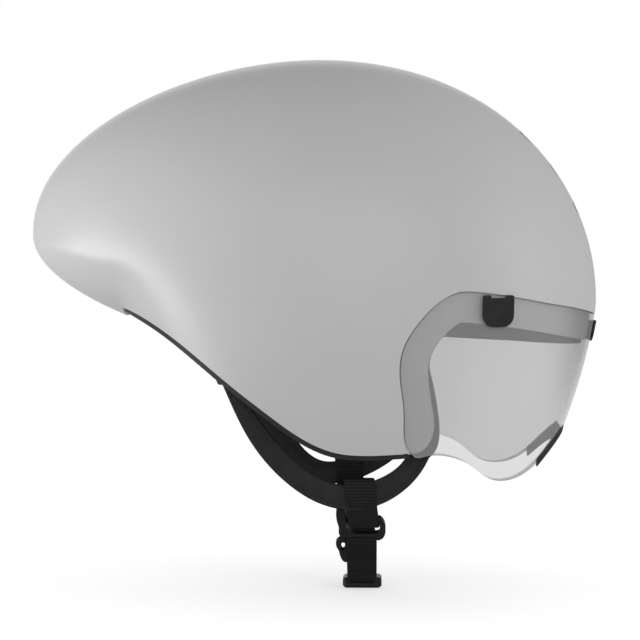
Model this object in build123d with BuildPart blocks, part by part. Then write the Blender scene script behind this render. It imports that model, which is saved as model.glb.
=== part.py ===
from build123d import *
# Aero time trial helmet: short tailed shell, wrap visor on magnets, dial retention and chin strap.
# Millimetres. +X points forward, +Y to the wearer's left, +Z up. The origin is the middle of the
# head cavity at headband height.
import os
from math import cos, pi, radians, sin, sqrt, tan

os.makedirs("parts", exist_ok=True)

# Overall form of the shell
nose_x = 128.4
tail_x = -166.8
tail_axis_z = 29.0
axis_slope = 0.115
crown_rise = 108.0
half_width = 98.0
tail_depth = 49.0
face_depth = 205.0
front_lift = 0.18
front_swell = 0.12
crown_power = 2 / 2.2
face_taper = 0.44
face_start_share = -0.66
face_span_share = 0.5
taper_span_share = 0.8
section_points = 16
first_station = 88
second_station = 78
station_start = -66
station_step = 12
station_count = 12

# Walls and clearances
shell_wall = 1.6
bond_gap = 0.1
lens_wall = 2.0
seat_gap = 0.6
run_gap = 0.05
slide_gap = 0.3
reach = 220.0

# Head cavity in the foam, with its ear hollows, dial pocket and air channels
cavity_half_length = 100.0
cavity_half_width = 80.0
cavity_rise = 90.0
cavity_drop = 130.0
ear_x = 4.0
ear_z = -48.0
ear_radius = 30.0
ear_half_width = 88.0
pocket_front_x = 20.0 - cavity_half_length
pocket_rear_x = -13.0 - cavity_half_length
pocket_half_width = 29.0
pocket_top_z = 31.0
pocket_corner = 6.0
channel_y = 24.0
channel_width = 14.0
channel_depth = 9.0
channel_floor_z = 38.0
dome_stations = 9
dome_last = 86

half_length = (nose_x - tail_x) / 2
middle_x = (nose_x + tail_x) / 2


def step_share(s):
    s = min(max(s, 0.0), 1.0)
    return s * s * (3 - 2 * s)


def form_sizes(u, inset):
    # Axis height, top, side and depth of the section at the share u of the half length.
    c = sqrt(1 - u * u)
    x = middle_x + (half_length - inset) * u
    axis_z = tail_axis_z - axis_slope * (x - tail_x)
    top = (crown_rise - inset) * c * (1 + front_lift * u)
    side = (half_width - inset) * c * (1 + front_swell * u)
    depth = tail_depth - inset
    depth += (face_depth - tail_depth) * step_share((u - face_start_share) / face_span_share)
    depth *= c ** (1 + face_taper * step_share(u / taper_span_share))
    return x, axis_z, top, side, depth


def helmet_form(inset):
    # The outer form shrunk by the inset on every side, lofted through sections across the length.
    angles = [-first_station, -second_station]
    angles += [station_start + station_step * k for k in range(station_count)]
    angles += [second_station, first_station]
    marks = [k / section_points for k in range(section_points + 1)]
    with BuildPart() as form:
        for angle in angles:
            x, axis_z, top, side, depth = form_sizes(sin(radians(angle)), inset)
            ring = []
            for k in range(section_points):
                turn = 2 * pi * k / section_points - pi / 2
                across = cos(turn)
                rise = sin(turn)
                if rise >= 0:
                    sign = 1 if across >= 0 else -1
                    y = sign * side * abs(across) ** crown_power
                    ring.append(Vector(y, axis_z + top * rise ** crown_power))
                else:
                    ring.append(Vector(side * across, axis_z + depth * rise))
            with BuildSketch(Plane.YZ.offset(x)):
                with BuildLine():
                    add(Edge.make_spline(ring, periodic=True, parameters=marks))
                make_face()
        loft()
    return form.part


def form_level(x, y, z):
    # Less than nothing inside the lower half of the outer form, more outside.
    _, axis_z, _, side, depth = form_sizes((x - middle_x) / half_length, 0)
    return (y / side) ** 2 + ((axis_z - z) / depth) ** 2 - 1


def form_plane(x, z, sign):
    # The plane that touches the outer form at a side point, or at the front for a sign of 0.
    if sign:
        _, axis_z, _, side, depth = form_sizes((x - middle_x) / half_length, 0)
        point = (x, sign * side * sqrt(1 - ((axis_z - z) / depth) ** 2), z)
    else:
        near, far = middle_x, nose_x - bond_gap
        for _ in range(40):
            x = (near + far) / 2
            near, far = (x, far) if form_level(x, 0, z) < 0 else (near, x)
        point = (x, 0, z)
    slope = []
    for axis in range(3):
        ahead = [p + run_gap * (axis == k) for k, p in enumerate(point)]
        behind = [p - run_gap * (axis == k) for k, p in enumerate(point)]
        slope.append(form_level(*ahead) - form_level(*behind))
    across = Vector(*slope).cross(Vector(0, 0, 1)) * -1
    return Plane(origin=point, x_dir=across, z_dir=Vector(*slope))


def place(shares):
    # Shares of the half length and of the crown height, as points of the side view.
    return [(middle_x + s * half_length, t * crown_rise) for s, t in shares]


def shifted(points, dx, dz):
    return [(x + dx, z + dz) for x, z in points]


def side_slab(*edges):
    # A region drawn in the side view and carried across the whole width.
    with BuildPart() as slab:
        with BuildSketch(Plane.XZ):
            with BuildLine():
                for edge in edges:
                    add(edge)
            make_face()
        extrude(amount=reach, both=True)
    return slab.part


def block(x_low, x_high, y_low, y_high, z_low, z_high):
    with BuildPart() as box:
        with Locations(((x_low + x_high) / 2, (y_low + y_high) / 2, (z_low + z_high) / 2)):
            Box(x_high - x_low, y_high - y_low, z_high - z_low)
    return box.part


def merged(first, *others, mode=Mode.ADD):
    with BuildPart() as result:
        add(first)
        for other in others:
            add(other, mode=mode)
    return result.part


def head_form(inset, drop):
    # The head cavity: a dome above the origin and straight walls below it, shrunk by the inset.
    length = cavity_half_length - inset
    width = cavity_half_width - inset
    rise = cavity_rise - inset
    with BuildPart() as head:
        for k in range(dome_stations):
            angle = radians(dome_last * k / (dome_stations - 1))
            with BuildSketch(Plane.XY.offset(rise * sin(angle))):
                Ellipse(length * cos(angle), width * cos(angle))
        loft()
        if drop:
            with BuildSketch(Plane.XY):
                Ellipse(length, width)
            extrude(amount=-drop)
    return head.part


def finish(piece, name):
    piece.part.label = name
    export_step(piece.part, f"parts/{name}.step")


# Lower edge of the shell in the side view, from the tail round the ear to the brow
ear_shares = [(-0.652, -0.084), (-0.463, -0.210), (-0.279, -0.405), (-0.125, -0.566),
              (-0.025, -0.662), (0.091, -0.731), (0.176, -0.744), (0.332, -0.736)]
corner_shares = [(0.332, -0.736), (0.385, -0.718), (0.408, -0.672), (0.417, -0.624),
                 (0.414, -0.560), (0.396, -0.377), (0.399, -0.318), (0.420, -0.254),
                 (0.448, -0.207), (0.482, -0.163), (0.508, -0.144)]
brow_shares = [(0.508, -0.144), (0.668, -0.169), (0.783, -0.194), (1.079, -0.273)]
foam_corner_shares = [(0.399, -0.761), (0.427, -0.713), (0.435, -0.648), (0.430, -0.554),
                      (0.410, -0.405), (0.401, -0.335), (0.418, -0.262), (0.445, -0.210)]
foam_brow_shares = [(0.445, -0.210), (0.672, -0.230), (0.825, -0.247), (1.079, -0.263)]
tail_under_share = (-0.697, -0.230)
rim_drop = 2.5
rim_lean = 0.8
rim_lap = 10.0
rim_front_x = 31.0


def above_edge(ear, corner, brow):
    # Everything above a lower edge given by its three stretches.
    under = place([tail_under_share])[0]
    edges = [Spline(*ear), Spline(*corner), Polyline(*brow)]
    edges.append(Polyline(brow[-1], (reach, brow[-1][1]), (reach, reach), (-reach, reach),
                          (-reach, -reach), (under[0], -reach), under, ear[0]))
    if ear[-1] != corner[0]:
        edges.append(Line(ear[-1], corner[0]))
    return side_slab(*edges)


ear_edge = place(ear_shares)
shell_region = above_edge(ear_edge, place(corner_shares), place(brow_shares))
foam_region = above_edge(shifted(ear_edge, -rim_lean, -rim_drop), place(foam_corner_shares),
                         place(foam_brow_shares))
raised_region = above_edge(shifted(ear_edge, rim_lean, rim_lap),
                           shifted(place(corner_shares), 0, rim_lap),
                           shifted(place(brow_shares), 0, rim_lap))

# Outline of the visor in the side view
lens_top_shares = [(1.003, -0.126), (0.974, -0.112), (0.796, -0.065), (0.691, -0.039),
                   (0.579, -0.018), (0.514, -0.011)]
lens_rear_shares = [(0.514, -0.011), (0.461, -0.033), (0.368, -0.149), (0.315, -0.273),
                    (0.306, -0.385), (0.320, -0.556), (0.335, -0.729), (0.360, -0.761)]
lens_foot_shares = [(0.360, -0.761), (0.474, -0.756), (0.542, -0.799), (0.610, -0.868),
                    (0.681, -0.877), (0.776, -0.809), (0.825, -0.737), (0.877, -0.659)]


def lens_slab(grow):
    # The visor outline carried across the width, let out by the given amount.
    top = shifted(place(lens_top_shares), 0, grow)
    rear = [top[-1]] + shifted(place(lens_rear_shares[1:]), -grow, 0)
    foot = shifted(place(lens_foot_shares), 0, -grow)
    edges = [Spline(*top), Spline(*rear), Spline(*foot)]
    edges.append(Polyline(foot[-1], (reach, foot[-1][1]), (reach, top[0][1]), top[0]))
    if grow:
        edges.append(Line(rear[-1], foot[0]))
    return side_slab(*edges)


lens_region = lens_slab(0)
seat_region = lens_slab(seat_gap)
step_region = lens_slab(seat_gap + shell_wall)
clear_region = lens_slab(seat_gap + shell_wall + bond_gap)

# Front vents: three pairs of slots over the brow that lead back through the foam
vent_heights = [78.7, 61.9, 42.4]
vent_widths = [20.0, 17.0, 14.0]
vent_tall = 6.0
vent_y = 15.0
vent_start_x = 40.0
vent_lip = 0.6
vent_frame_x = 78.0
vent_frame_half_width = 30.0
vent_frame_low_z = 33.0
vent_frame_high_z = 90.0


def vent_slots(shrink):
    # Six rounded passages that run straight back from the front.
    with BuildPart() as slots:
        for height, width in zip(vent_heights, vent_widths):
            with BuildSketch(Plane.YZ.offset(vent_start_x)):
                with Locations((vent_y, height), (-vent_y, height)):
                    SlotOverall(width - 2 * shrink, vent_tall - 2 * shrink)
            extrude(amount=nose_x - vent_start_x)
    return slots.part


vent_tool = vent_slots(0)

# Outer shell: a thin skin that steps in under the visor, so that the lens lies flush
seat_depth = lens_wall + seat_gap
step_depth = seat_depth + shell_wall
form_outer = helmet_form(0)
form_skin = helmet_form(shell_wall)
form_seat = helmet_form(seat_depth)
form_step = helmet_form(step_depth)
free_region = merged(shell_region, step_region, mode=Mode.SUBTRACT)
stepped_region = merged(shell_region, step_region, mode=Mode.INTERSECT)
lap_region = merged(shell_region, seat_region, mode=Mode.INTERSECT)
seat_tool = merged(lap_region, form_seat, mode=Mode.SUBTRACT)
with BuildPart() as shell_skin:
    add(form_outer)
    add(form_skin, mode=Mode.SUBTRACT)
    add(free_region, mode=Mode.INTERSECT)
with BuildPart() as shell_step:
    add(form_outer)
    add(seat_tool, mode=Mode.SUBTRACT)
    add(stepped_region, mode=Mode.INTERSECT)
    add(form_step, mode=Mode.SUBTRACT)
with BuildPart() as outer_shell:
    add(shell_skin.part)
    add(shell_step.part)
    add(vent_tool, mode=Mode.SUBTRACT)
finish(outer_shell, "outer_shell")

# Dark trim along the lower rim, and the frame behind the front vents, both under the skin
form_bond = helmet_form(shell_wall + bond_gap)
form_deep = helmet_form(step_depth + bond_gap)
rim_end = block(rim_front_x, reach, -reach, reach, -reach, reach)
rim_region = merged(foam_region, raised_region, clear_region, rim_end, mode=Mode.SUBTRACT)
vent_block = block(vent_frame_x, nose_x, -vent_frame_half_width, vent_frame_half_width,
                   vent_frame_low_z, vent_frame_high_z)
with BuildPart() as under_skin:
    add(form_bond)
    add(form_step, mode=Mode.SUBTRACT)
with BuildPart() as rim_trim:
    add(under_skin.part)
    add(rim_region, mode=Mode.INTERSECT)
finish(rim_trim, "rim_trim")
with BuildPart() as vent_frame:
    add(under_skin.part)
    add(vent_block, mode=Mode.INTERSECT)
    add(vent_slots(vent_lip), mode=Mode.SUBTRACT)
finish(vent_frame, "vent_frame")

# Side bands: flat padded bands that hang round each ear
band_wall = 2.4
band_top_y = 75.6
band_top_z = -50.0
band_lean = 5.0
band_outer_shares = [(-0.317, -0.333), (-0.259, -0.514), (-0.196, -0.685), (-0.082, -0.870),
                     (0.062, -0.987), (0.184, -1.000), (0.305, -0.928), (0.388, -0.801),
                     (0.421, -0.667)]
band_inner_shares = [(0.340, -0.667), (0.314, -0.781), (0.219, -0.868), (0.110, -0.888),
                     (0.020, -0.845), (-0.089, -0.717), (-0.161, -0.592), (-0.239, -0.370)]
# Anchors: clamps moulded into the foam that hold each end of a band with one rivet
anchor_shares = {"front": (0.376, -0.670), "rear": (-0.2744, -0.3648)}
anchor_turns = {"front": 0.0, "rear": 23.5}
anchor_length = 12.0
anchor_height = 11.0
anchor_wall = 4.6
anchor_corner = 1.5
rivet_radius = 2.0
rivet_head_radius = 3.4
rivet_head = 0.9


def band_y(z):
    # Distance of the band's middle from the centre plane at a height.
    return band_top_y + (z - band_top_z) * tan(radians(band_lean))


def band_plane(x, z):
    # The plane of the right band, placed at a point of the side view.
    lean = radians(band_lean)
    return Plane(origin=(x, -band_y(z), z), x_dir=(1, 0, 0), z_dir=(0, -cos(lean), -sin(lean)))


def band_points(shares):
    return [(x, (z - band_top_z) / cos(radians(band_lean))) for x, z in place(shares)]


with BuildPart() as strap_rivets:
    for x, z in place(anchor_shares.values()):
        with Locations(band_plane(x, z)):
            Cylinder(rivet_radius, anchor_wall)
            with Locations((0, 0, (anchor_wall - rivet_head) / 2),
                           (0, 0, (rivet_head - anchor_wall) / 2)):
                Cylinder(rivet_head_radius, rivet_head)
    mirror(about=Plane.XZ)
finish(strap_rivets, "strap_rivets")
with BuildPart() as side_band_right:
    with BuildSketch(band_plane(0, band_top_z)):
        with BuildLine():
            outer_line = Spline(*band_points(band_outer_shares))
            inner_line = Spline(*band_points(band_inner_shares))
            Line(outer_line @ 1, inner_line @ 0)
            Line(inner_line @ 1, outer_line @ 0)
        make_face()
    extrude(amount=band_wall / 2, both=True)
    add(strap_rivets.part, mode=Mode.SUBTRACT)
finish(side_band_right, "side_band_right")
with BuildPart() as side_band_left:
    mirror(side_band_right.part, about=Plane.XZ)
finish(side_band_left, "side_band_left")
strap_fittings = [side_band_right.part, side_band_left.part, strap_rivets.part]
for end, turn in anchor_turns.items():
    x, z = place([anchor_shares[end]])[0]
    with BuildPart() as anchor:
        with BuildSketch(band_plane(x, z)):
            with Locations(Rotation(0, 0, turn)):
                RectangleRounded(anchor_length, anchor_height, anchor_corner)
        extrude(amount=anchor_wall / 2, both=True)
        add(side_band_right.part, mode=Mode.SUBTRACT)
        add(strap_rivets.part, mode=Mode.SUBTRACT)
    finish(anchor, f"strap_anchor_{end}_right")
    with BuildPart() as twin:
        mirror(anchor.part, about=Plane.XZ)
    finish(twin, f"strap_anchor_{end}_left")
    strap_fittings += [anchor.part, twin.part]

# Chin strap: all of it lies on one line that falls steadily from each band and rounds off below
chin_x = 6.5
web_width = 15.0
web_wall = 1.4
chin_slope = 47.0
chin_y = 70.0
chin_z = -98.0
chin_radius = 43.0
bar_radius = 2.0
bar_along = 20.0
loop_height = 15.0
loop_z = -101.3
tail_along = 26.0
fall = Vector(0, cos(radians(chin_slope)), -sin(radians(chin_slope)))
apex_z = chin_z - chin_y * tan(radians(chin_slope))
centre_z = apex_z + chin_radius / cos(radians(chin_slope))


def chin_point(along):
    # A point of the right half of the chin line, in the YZ plane.
    return (-chin_y + along * fall.Y, chin_z + along * fall.Z)


def chin_plane(along):
    # Across the strap is X, up the strap is Y and away from the face is Z.
    y, z = chin_point(along)
    return Plane(origin=(chin_x, y, z), x_dir=(1, 0, 0), z_dir=(0, fall.Z, -fall.Y))


with BuildPart() as strap_loop_right:
    with BuildSketch(Plane.YZ.offset(chin_x)) as loop_face:
        with BuildSketch(Plane.XY, mode=Mode.PRIVATE) as held:
            with Locations(Location((-band_y(loop_z), loop_z), band_lean)):
                Rectangle(band_wall + 2 * bond_gap, loop_height)
            with Locations(chin_point(bar_along)):
                Circle(bar_radius + run_gap)
            make_hull()
        add(offset(held.sketch, amount=web_wall, mode=Mode.PRIVATE))
        add(held.sketch, mode=Mode.SUBTRACT)
    extrude(amount=web_width / 2, both=True)
finish(strap_loop_right, "strap_loop_right")
with BuildPart() as strap_loop_left:
    with BuildSketch(Plane.YZ.offset(chin_x)):
        with BuildSketch(Plane.XY, mode=Mode.PRIVATE) as gripped:
            with Locations(Location((-band_y(loop_z), loop_z), band_lean)):
                Rectangle(band_wall + 2 * bond_gap, loop_height)
            with Locations(chin_point(bar_along)):
                Circle(web_wall / 2)
            make_hull()
        with BuildLine() as tail_line:
            Line(chin_point(bar_along), chin_point(tail_along))
        add(offset(gripped.sketch, amount=web_wall, mode=Mode.PRIVATE))
        add(gripped.sketch, mode=Mode.SUBTRACT)
        with BuildSketch(Plane.XY, mode=Mode.PRIVATE) as tail_strip:
            with Locations(Location(chin_point((bar_along + tail_along) / 2), -chin_slope)):
                Rectangle(tail_along - bar_along, web_wall)
        add(tail_strip.sketch)
        mirror(about=Plane.YZ, mode=Mode.REPLACE)
    extrude(amount=web_width / 2, both=True)
finish(strap_loop_left, "strap_loop_left")

# Side release buckle: the socket hangs on the right loop, the tongue slides out down the strap
buckle_width = 25.8
socket_wall = 8.0
socket_top = 17.5
socket_body = 24.5
joint_along = 38.0
cheek_width = 4.6
mouth_width = 20.4
mouth_wall = 4.4
mouth_top = 26.5
lobe_top = 29.0
lobe_foot = 35.0
buckle_corner = 3.0
buckle_edge = 0.8
with BuildPart() as buckle_socket:
    with BuildSketch(chin_plane(joint_along)):
        with Locations((0, (joint_along - socket_top) / 2)):
            RectangleRounded(buckle_width, joint_along - socket_top, buckle_corner)
    extrude(amount=socket_wall / 2, both=True)
    chamfer(buckle_socket.faces().filter_by(chin_plane(joint_along)).edges(), buckle_edge)
    with BuildSketch(chin_plane(joint_along)):
        with Locations((0, joint_along - (socket_top + socket_body) / 2)):
            Rectangle(buckle_width - 2 * cheek_width, socket_body - socket_top)
    extrude(amount=socket_wall, both=True, mode=Mode.SUBTRACT)
    with BuildSketch(chin_plane(joint_along)):
        with Locations((0, (joint_along - mouth_top) / 2)):
            Rectangle(mouth_width, joint_along - mouth_top)
    extrude(amount=mouth_wall / 2, both=True, mode=Mode.SUBTRACT)
    with BuildSketch(chin_plane(joint_along)):
        with Locations((0, joint_along - (lobe_top + lobe_foot) / 2)):
            Rectangle(2 * buckle_width, lobe_foot - lobe_top)
    extrude(amount=mouth_wall / 2, both=True, mode=Mode.SUBTRACT)
    with Locations(chin_plane(bar_along)):
        Cylinder(bar_radius, buckle_width - cheek_width, rotation=(0, 90, 0))
finish(buckle_socket, "buckle_socket")

prong_gap = 0.3
prong_width = 4.2
guide_width = 3.4
prong_top = 27.5
tongue_foot = 58.6
tongue_wall = 6.5
tongue_bar_along = 50.0
tongue_bar_radius = 1.7
window_top = 43.5
window_foot = 54.0
window_width = 16.4
tongue_width = 23.8
with BuildPart() as buckle_tongue:
    with BuildSketch(chin_plane(joint_along + prong_gap)):
        with Locations((0, -(tongue_foot - joint_along - prong_gap) / 2)):
            RectangleRounded(tongue_width, tongue_foot - joint_along - prong_gap, buckle_corner)
    extrude(amount=tongue_wall / 2, both=True)
    chamfer(buckle_tongue.faces().filter_by(chin_plane(joint_along)).edges(), buckle_edge)
    with BuildSketch(chin_plane(joint_along)):
        with Locations((0, joint_along - (window_top + window_foot) / 2)):
            Rectangle(window_width, window_foot - window_top)
    extrude(amount=tongue_wall, both=True, mode=Mode.SUBTRACT)
    with BuildSketch(chin_plane(joint_along)):
        arm_x = (mouth_width - prong_width) / 2 - prong_gap
        with Locations((arm_x, 0), (-arm_x, 0)):
            SlotOverall(2 * (joint_along - prong_top), prong_width, rotation=90)
        SlotOverall(2 * (joint_along - prong_top), guide_width, rotation=90)
        with Locations((0, -reach / 2 - buckle_corner)):
            Rectangle(reach, reach, mode=Mode.SUBTRACT)
    extrude(amount=mouth_wall / 2 - prong_gap, both=True)
    with BuildSketch(chin_plane(joint_along)):
        with Locations((0, joint_along - tongue_foot)):
            Rectangle(window_width, 2 * (tongue_foot - window_foot) + bond_gap)
    extrude(amount=web_wall / 2 + prong_gap, both=True, mode=Mode.SUBTRACT)
    with Locations(chin_plane(tongue_bar_along)):
        Cylinder(tongue_bar_radius, tongue_width - buckle_corner, rotation=(0, 90, 0))
finish(buckle_tongue, "buckle_tongue")

# Chin webbing: from the tongue's bar round under the chin to the sewn tail on the left
with BuildPart() as chin_webbing:
    with BuildSketch(Plane.YZ.offset(chin_x)):
        with BuildLine() as chin_line:
            right_y, right_z = chin_point(tongue_bar_along)
            left_y, left_z = chin_point(tail_along)
            FilletPolyline((right_y, right_z), (0, apex_z), (-left_y, left_z), radius=chin_radius)
        trace(line_width=web_wall)
        with Locations(chin_point(tongue_bar_along)):
            Circle(tongue_bar_radius + run_gap + web_wall)
            Circle(tongue_bar_radius + run_gap, mode=Mode.SUBTRACT)
        with Locations(Location((-left_y, left_z), chin_slope)):
            Rectangle(2 * web_wall, 2 * web_wall, align=(Align.MIN, Align.CENTER),
                      mode=Mode.SUBTRACT)
    extrude(amount=web_width / 2, both=True)
finish(chin_webbing, "chin_webbing")

# Strap slider: a three bar adjuster that follows the round of the strap under the chin
slider_width = 20.3
slider_length = 18.0
slider_wall = 5.4
slider_corner = 3.0
slider_edge = 1.0
slider_slot = 0.4
slider_bar = 3.0
slider_window = 4.2
with BuildPart() as strap_slider:
    with BuildSketch(Plane.XY.offset(centre_z - chin_radius)):
        with Locations((chin_x, 0)):
            RectangleRounded(slider_width, slider_length, slider_corner)
    extrude(amount=slider_wall / 2, both=True)
    chamfer(strap_slider.faces().filter_by(Axis.Z).edges(), slider_edge)
    with BuildSketch(Plane.YZ.offset(chin_x)):
        with Locations((0, centre_z)):
            Circle(chin_radius + web_wall / 2 + slider_slot)
            Circle(chin_radius - web_wall / 2 - slider_slot, mode=Mode.SUBTRACT)
    extrude(amount=web_width / 2 + slider_slot, both=True, mode=Mode.SUBTRACT)
    window_y = (slider_bar + slider_window) / 2
    with BuildSketch(Plane.XY.offset(centre_z - chin_radius)):
        with Locations((chin_x, window_y), (chin_x, -window_y)):
            Rectangle(web_width + 2 * slider_slot, slider_window)
    extrude(amount=-slider_wall, mode=Mode.SUBTRACT)
finish(strap_slider, "strap_slider")

# Retention belts: two flat strips that run back from the temples inside the foam
belt_inset = 5.2
belt_wall = 1.4
belt_height = 14.0
belt_z = -5.0
belt_front_x = 24.0
belt_rear_x = 16.0 - cavity_half_length
temple_x = 14.0
temple_radius = 2.4
temple_head_radius = 5.5
temple_head = 1.8
temple_collar_radius = 5.0
temple_depth = 9.0
belt_length = cavity_half_length - belt_inset
belt_half = cavity_half_width - belt_inset
with BuildPart() as temple_pin_left:
    with BuildSketch(Plane.XZ.offset(-belt_half - run_gap)):
        with Locations((temple_x, belt_z)):
            Circle(temple_collar_radius)
    extrude(amount=-belt_inset)
    add(head_form(run_gap, cavity_drop), mode=Mode.INTERSECT)
    with BuildSketch(Plane.XZ.offset(-belt_half + belt_wall + run_gap)):
        with Locations((temple_x, belt_z)):
            Circle(temple_head_radius)
    extrude(amount=temple_head)
    with BuildSketch(Plane.XZ.offset(-belt_half + belt_wall + run_gap)):
        with Locations((temple_x, belt_z)):
            Circle(temple_radius)
    extrude(amount=-belt_wall - belt_inset - temple_depth)
finish(temple_pin_left, "temple_pin_left")
with BuildPart() as temple_pin_right:
    mirror(temple_pin_left.part, about=Plane.XZ)
finish(temple_pin_right, "temple_pin_right")
with BuildPart() as belt_left:
    with BuildSketch(Plane.XY.offset(belt_z)):
        Ellipse(belt_length, belt_half)
        Ellipse(belt_length - belt_wall, belt_half - belt_wall, mode=Mode.SUBTRACT)
        with Locations((belt_rear_x / 2, belt_half / 2)):
            Rectangle(-belt_rear_x, belt_half, mode=Mode.INTERSECT)
        with Locations((belt_front_x / 2, belt_half - belt_wall / 2)):
            Rectangle(belt_front_x, belt_wall)
    extrude(amount=belt_height / 2, both=True)
    fillet(belt_left.edges().filter_by(Axis.Y).group_by(Axis.X)[-1], belt_height / 2 - run_gap)
    with Locations(Plane(origin=(temple_x, belt_half, belt_z), z_dir=(0, 1, 0))):
        Cylinder(temple_radius + run_gap, 4 * belt_wall, mode=Mode.SUBTRACT)
finish(belt_left, "belt_left")
with BuildPart() as belt_right:
    mirror(belt_left.part, about=Plane.XZ)
finish(belt_right, "belt_right")

# Cradle: a curved yoke on the belts' inner faces, two pads and the dial housing behind it
yoke_wall = 2.0
yoke_front_x = 44.0 - cavity_half_length
yoke_arm = 11.0
yoke_hub_width = 46.0
yoke_hub_height = 27.0
yoke_corner = 5.0
yoke_length = belt_length - belt_wall - slide_gap
yoke_half = belt_half - belt_wall - slide_gap
pad_half_gap = 7.0
pad_reach = 40.0
pad_wall = 3.0
pad_height = 18.0
with BuildPart() as cradle_yoke:
    with BuildSketch(Plane.XY.offset(belt_z)):
        Ellipse(yoke_length, yoke_half)
        Ellipse(yoke_length - yoke_wall, yoke_half - yoke_wall, mode=Mode.SUBTRACT)
        with Locations(((yoke_front_x - yoke_length) / 2, 0)):
            Rectangle(yoke_length + yoke_front_x, 2 * yoke_half, mode=Mode.INTERSECT)
    extrude(amount=yoke_hub_height, both=True)
    with BuildSketch(Plane.YZ.offset(-yoke_length)):
        with Locations((0, belt_z)):
            RectangleRounded(yoke_hub_width, yoke_hub_height, yoke_corner)
            SlotOverall(2 * yoke_half, yoke_arm)
    extrude(amount=yoke_length + yoke_front_x, mode=Mode.INTERSECT)
finish(cradle_yoke, "cradle_yoke")
pad_length = yoke_length - yoke_wall
pad_half = yoke_half - yoke_wall
with BuildPart() as cradle_pad_left:
    with BuildSketch(Plane.XY.offset(belt_z)):
        Ellipse(pad_length, pad_half)
        Ellipse(pad_length - pad_wall, pad_half - pad_wall, mode=Mode.SUBTRACT)
        with Locations((-pad_length / 2, (pad_half_gap + pad_reach) / 2)):
            Rectangle(pad_length, pad_reach - pad_half_gap, mode=Mode.INTERSECT)
    extrude(amount=pad_height / 2, both=True)
finish(cradle_pad_left, "cradle_pad_left")
with BuildPart() as cradle_pad_right:
    mirror(cradle_pad_left.part, about=Plane.XZ)
finish(cradle_pad_right, "cradle_pad_right")

# Dial drive: a pinion between two racks, in a housing closed by a screwed cover
dial_z = -2.0
housing_half_width = 21.0
housing_half_height = 13.6
housing_rear_x = -7.9 - yoke_length
housing_corner = 3.0
rack_front_x = -4.3 - yoke_length
rack_wall = 2.4
rack_back = 9.0
rack_out = 27.0
rack_in = 10.0
rack_gap = 0.3
pitch_radius = 5.0
tooth_count = 10
tooth_module = 1.0
root_drop = 1.25
mesh_gap = 0.3
pressure_angle = 20.0
shaft_radius = 2.5
cover_wall = 2.5
knob_radius = 13.0
knob_wall = 6.0
knob_lobes = 12
knob_lobe_radius = 2.2
knob_lift = 0.3
screw_radius = 1.1
screw_head_radius = 2.0
screw_head = 1.2
screw_length = 5.0
screw_y = 17.0
rack_rear_x = rack_front_x - rack_gap - rack_wall
rack_room = rack_back + rack_gap
screw_z = (housing_half_height + rack_room) / 2
cover_plane = Plane.YZ.offset(housing_rear_x - cover_wall)
with BuildPart() as housing_screws:
    with BuildSketch(cover_plane):
        with Locations((0, dial_z)):
            with GridLocations(2 * screw_y, 2 * screw_z, 2, 2):
                Circle(screw_radius)
    extrude(amount=screw_length)
    with BuildSketch(cover_plane):
        with Locations((0, dial_z)):
            with GridLocations(2 * screw_y, 2 * screw_z, 2, 2):
                Circle(screw_head_radius)
    extrude(amount=screw_head)
finish(housing_screws, "housing_screws")
with BuildPart() as dial_housing:
    with BuildSketch(Plane.YZ.offset(housing_rear_x)):
        with Locations((0, dial_z)):
            RectangleRounded(2 * housing_half_width, 2 * housing_half_height, housing_corner)
    extrude(amount=yoke_length)
    with BuildSketch(Plane.XY.offset(-reach)):
        Ellipse(yoke_length, yoke_half)
        with Locations((reach / 2, 0)):
            Rectangle(reach, reach)
    extrude(amount=2 * reach, mode=Mode.SUBTRACT)
    add(block(housing_rear_x - cover_wall, rack_front_x, -reach, reach,
              dial_z - rack_room, dial_z + rack_room), mode=Mode.SUBTRACT)
    add(housing_screws.part, mode=Mode.SUBTRACT)
finish(dial_housing, "dial_housing")
with BuildPart() as housing_cover:
    with BuildSketch(cover_plane):
        with Locations((0, dial_z)):
            RectangleRounded(2 * housing_half_width, 2 * housing_half_height, housing_corner)
    extrude(amount=cover_wall)
    fillet(housing_cover.faces().sort_by(Axis.X)[0].edges(), cover_wall / 2)
    with Locations(Plane(origin=(housing_rear_x, 0, dial_z), z_dir=(1, 0, 0))):
        Cylinder(shaft_radius + run_gap, 4 * cover_wall, mode=Mode.SUBTRACT)
    add(housing_screws.part, mode=Mode.SUBTRACT)
finish(housing_cover, "housing_cover")


def tooth_points(backed):
    # One rack tooth as a trapezium, tip toward the pinion at the foot of the drawing.
    half = pi * tooth_module / 4 - mesh_gap / 2
    flank = tan(radians(pressure_angle)) * tooth_module
    drop = tan(radians(pressure_angle)) * root_drop * tooth_module
    foot = pitch_radius + root_drop * tooth_module + backed
    return [(-half - drop, foot), (-half + flank, pitch_radius - tooth_module),
            (half - flank, pitch_radius - tooth_module), (half + drop, foot)]


rack_pitch = pi * tooth_module
rack_root = pitch_radius + root_drop * tooth_module
with BuildPart() as rack_left:
    with BuildSketch(Plane.YZ.offset(rack_rear_x)):
        with Locations(((rack_out - rack_in) / 2, dial_z + (rack_root + rack_back) / 2)):
            Rectangle(rack_out + rack_in, rack_back - rack_root)
        first_tooth = -int(rack_in / rack_pitch - 0.5)
        last_tooth = int(rack_out / rack_pitch - 0.5)
        for k in range(first_tooth, last_tooth + 1):
            with Locations((rack_pitch * k, dial_z)):
                Polygon(*tooth_points(rack_gap), align=None)
    extrude(amount=rack_wall)
finish(rack_left, "rack_left")
with BuildPart() as rack_right:
    add(rack_left.part.rotate(Axis((0, 0, dial_z), (1, 0, 0)), 180))
finish(rack_right, "rack_right")

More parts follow.
